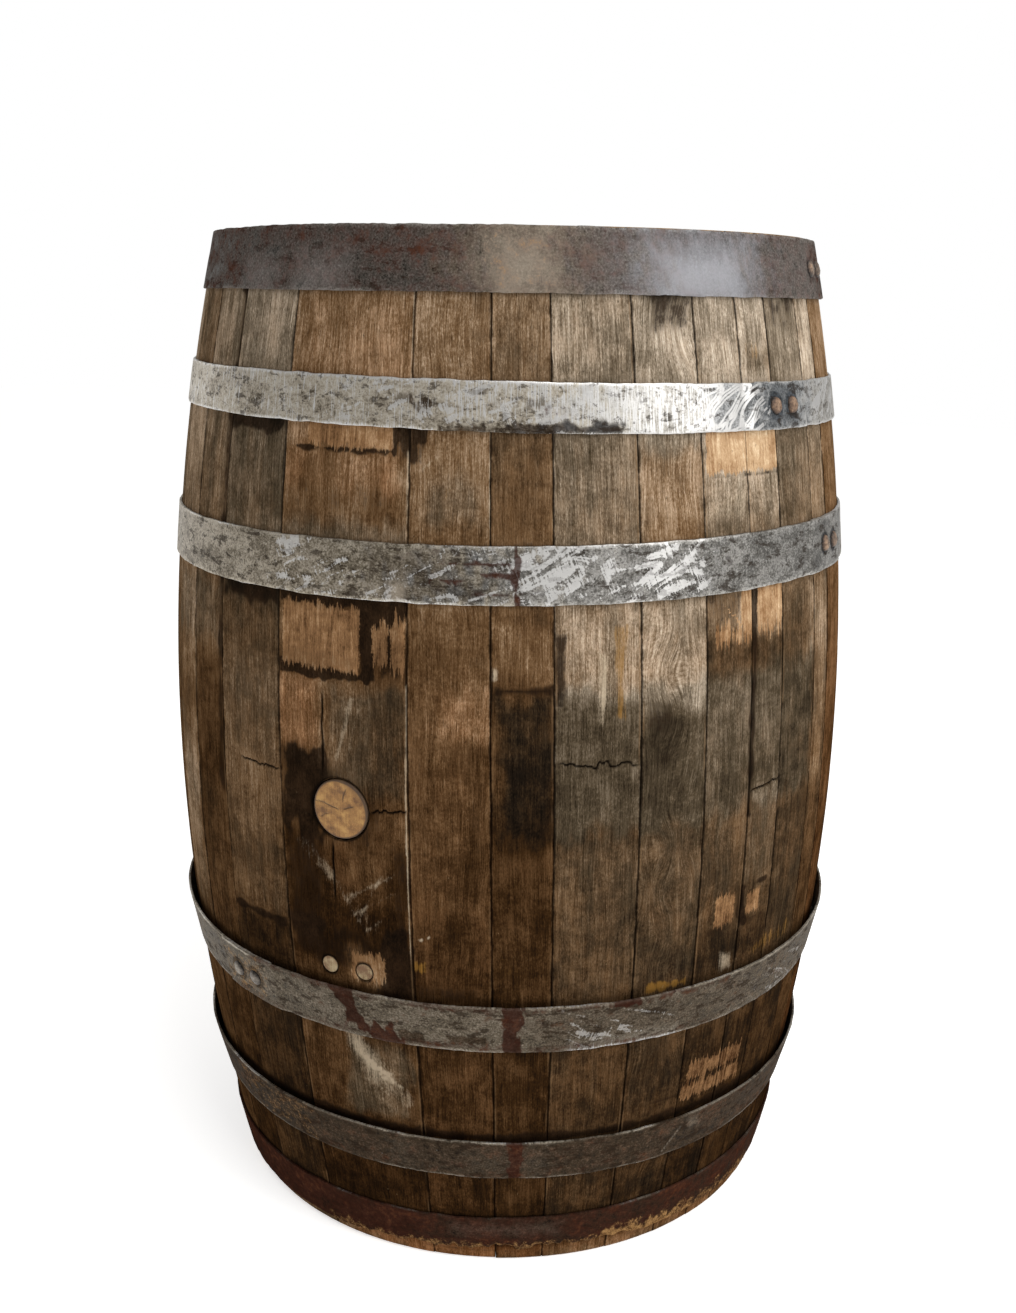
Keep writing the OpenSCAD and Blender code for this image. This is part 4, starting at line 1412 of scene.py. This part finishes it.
def plug_material(name, light, mid, dark):
    """End grain of a plug: fine pores, saw marks and clouds over a light wood, darker towards
    the rim, partly soil and partly painted shade of the gap round the plug, and down the side, with
    dark cracks."""
    material, wood = new_material(name)
    uv = wood.grain()
    crack, rim, shade = wood.field("plug")
    pores = uv.noise(1600, 1600, detail=3)
    saw = uv.noise(900, 60, detail=3)
    cloud = uv.noise(90, 90, detail=4, rough=0.6)
    level = 0.5 + pores * 0.8 + cloud * 2.0 + saw * 0.5 - shade * 0.5
    colour = level.ramp((0.15, 0.5, 0.85), dark, mid, light)
    # Darker towards the rim: partly soil, partly painted shade of the gap round the plug
    soil_and_shade = (rim + cloud * 1.1 + pores * 0.5).ease(0.35, 1.0)
    colour = (soil_and_shade * 0.85).mix(colour, "#2a1c11")
    colour = (crack * 0.7).mix(colour, "#2e1d10")
    height = pores * 0.3 + saw * 0.25 - crack * 0.8
    finish_material(
        wood,
        {
            "Base Color": colour,
            "Roughness": 0.68 + pores * 0.3,
            "Normal": wood.bump(height),
        },
    )
    return material


bung_grid, bung_uv, bung_share, bung_deep = plug_grid(0, bung_z, bung_r, bung_tip_r, bung_l, 1.6, 1)
bung_face_mm = (bung_uv - 0.1) * 1000
bung_rays = [(168, 1, 25, 0.25), (72, 8, 20, 0.2), (20, 3, 14, 0.15), (205, 12, 22, 0.15)]
bung_cracks = crack_rays(bung_face_mm, bung_rays, 61) * ease(bung_deep, 2.5, 1.0)
# The rim is darker, partly soil and partly painted shade of the gap round the bung; the face also
# darkens towards the upper right
bung_rim = 1.1 * ease(bung_share, 0.86, 1.0) + 0.6 * ease(bung_face_mm.sum(-1), 12, 34)
bung_values = np.stack([bung_cracks, bung_rim, ease(bung_deep, 2, 10)], -1)
bung_wood = plug_material("bung wood", "#b0874c", "#8e6535", "#5f3f20")
bung = grids_piece("sawn_bung", [(bung_grid, bung_uv, bung_values)], "plug", bung_wood, 40)
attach(bung, "bung")
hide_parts("bung")


# Sample pegs: two whittled hardwood pins that plug old tasting holes, sawn off flush with
# the bung stave.
peg_r = 7.75
peg_l = 34
peg_wood = plug_material("peg wood", "#b5a88c", "#97825f", "#6b4c2f")
pegs = []
for side in (-1, 1):
    grid, grid_uv, share, deep = plug_grid(side * peg_turn, peg_z, peg_r, peg_r, peg_l, 0.9, 4 + side)
    shade = ease(deep, 1, 6) + 0.18 * side + 0.38
    # Each peg's rim is darker, partly soil and partly painted shade of the gap round it
    values = np.stack([np.zeros(share.shape), 0.9 * ease(share, 0.84, 1.03), shade], -1)
    pegs.append((grid, grid_uv, values))
peg_piece = grids_piece("whittled_sample_pegs", pegs, "plug", peg_wood, 40)
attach(peg_piece, "barrel")
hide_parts("sample_pegs")


# Floor: a wide plain sheet of pale studio paper, laid flat just under the stave ends. It is
# no part of the barrel.
floor_half = 9000
floor_z = -0.4
floor_paper, paper = new_material("floor paper")
paper_tooth = paper.place().noise(900, 900, 900, detail=2)
finish_material(
    paper,
    {
        "Base Color": (0.5 + paper_tooth * 0.2).ramp((0.3, 0.7), "#efeeec", "#f4f3f1"),
        "Roughness": 0.9,
        "Specular IOR Level": 0.1,
        "Emission Color": (1, 1, 1, 1),
        "Emission Strength": 0.58,
    },
)
floor_corners = np.array([[-1, -1, 0], [1, -1, 0], [1, 1, 0], [-1, 1, 0]])
floor_points = floor_corners * floor_half + np.array([0, 0, floor_z])
floor_uv = floor_points[:, :2] / 1000
floor = add_piece("floor", floor_points, np.array([[0, 1, 2, 3]]), [], floor_uv, {}, floor_paper)


# Light: a tall window-like softbox at the right front, a weaker one at the left, one
# overhead, and an even pale surround.
def softbox(name, turn, far, up, size, watts, aim_up):
    """A square or oblong area light at a turn, distance and height, facing the barrel's axis."""
    lamp = bpy.data.lights.new(name, "AREA")
    lamp.shape = "RECTANGLE"
    lamp.size = size[0] / 1000
    lamp.size_y = size[1] / 1000
    lamp.energy = watts
    holder = bpy.data.objects.new(name, lamp)
    bpy.context.scene.collection.objects.link(holder)
    at = spot(turn, far, up) / 1000
    tilt = np.degrees(np.arctan2(aim_up - up, far))
    turned = Matrix.Rotation(np.radians(turn), 4, "Z") @ Matrix.Rotation(np.radians(90 + tilt), 4, "X")
    holder.matrix_world = Matrix.Translation(at.tolist()) @ turned


softbox("window light", 80, 2600, 1500, (1300, 1800), 22, 600)
softbox("high light", 62, 1700, 3100, (2200, 2000), 62, 760)
softbox("left light", -100, 2600, 1300, (1600, 1800), 8, 500)

world = bpy.data.worlds.new("studio")
world.use_nodes = True
world.node_tree.nodes.clear()
sky = Shade(world.node_tree)
seen = sky.node("LightPath", {}, {}, "Is Camera Ray")
glow = sky.node("Background", {}, {"Color": (1, 1, 1, 1), "Strength": 0.48})
backdrop = sky.node("Background", {}, {"Color": (1, 1, 1, 1), "Strength": 1.0})
both = sky.node("MixShader", {}, {0: seen, 1: glow, 2: backdrop})
sky.node("OutputWorld", {}, {"Surface": both})
bpy.context.scene.world = world
bpy.context.scene.view_settings.view_transform = "Standard"


# Camera: at the photograph's angle, a little below the barrel's top and looking down at it.
camera_far = 1361
camera_up = 860.7
camera_pitch = 14.7
camera_roll = 0.69
camera = bpy.data.cameras.new("camera")
camera.lens = 37.54
camera.sensor_width = 36
camera_holder = bpy.data.objects.new("camera", camera)
bpy.context.scene.collection.objects.link(camera_holder)
camera_turned = Matrix.Rotation(np.radians(photo_turn), 4, "Z")
camera_turned = camera_turned @ Matrix.Rotation(np.radians(90 - camera_pitch), 4, "X")
camera_turned = camera_turned @ Matrix.Rotation(np.radians(camera_roll), 4, "Z")
camera_at = spot(photo_turn, camera_far, camera_up) / 1000
camera_holder.matrix_world = Matrix.Translation(camera_at.tolist()) @ camera_turned
bpy.context.scene.camera = camera_holder
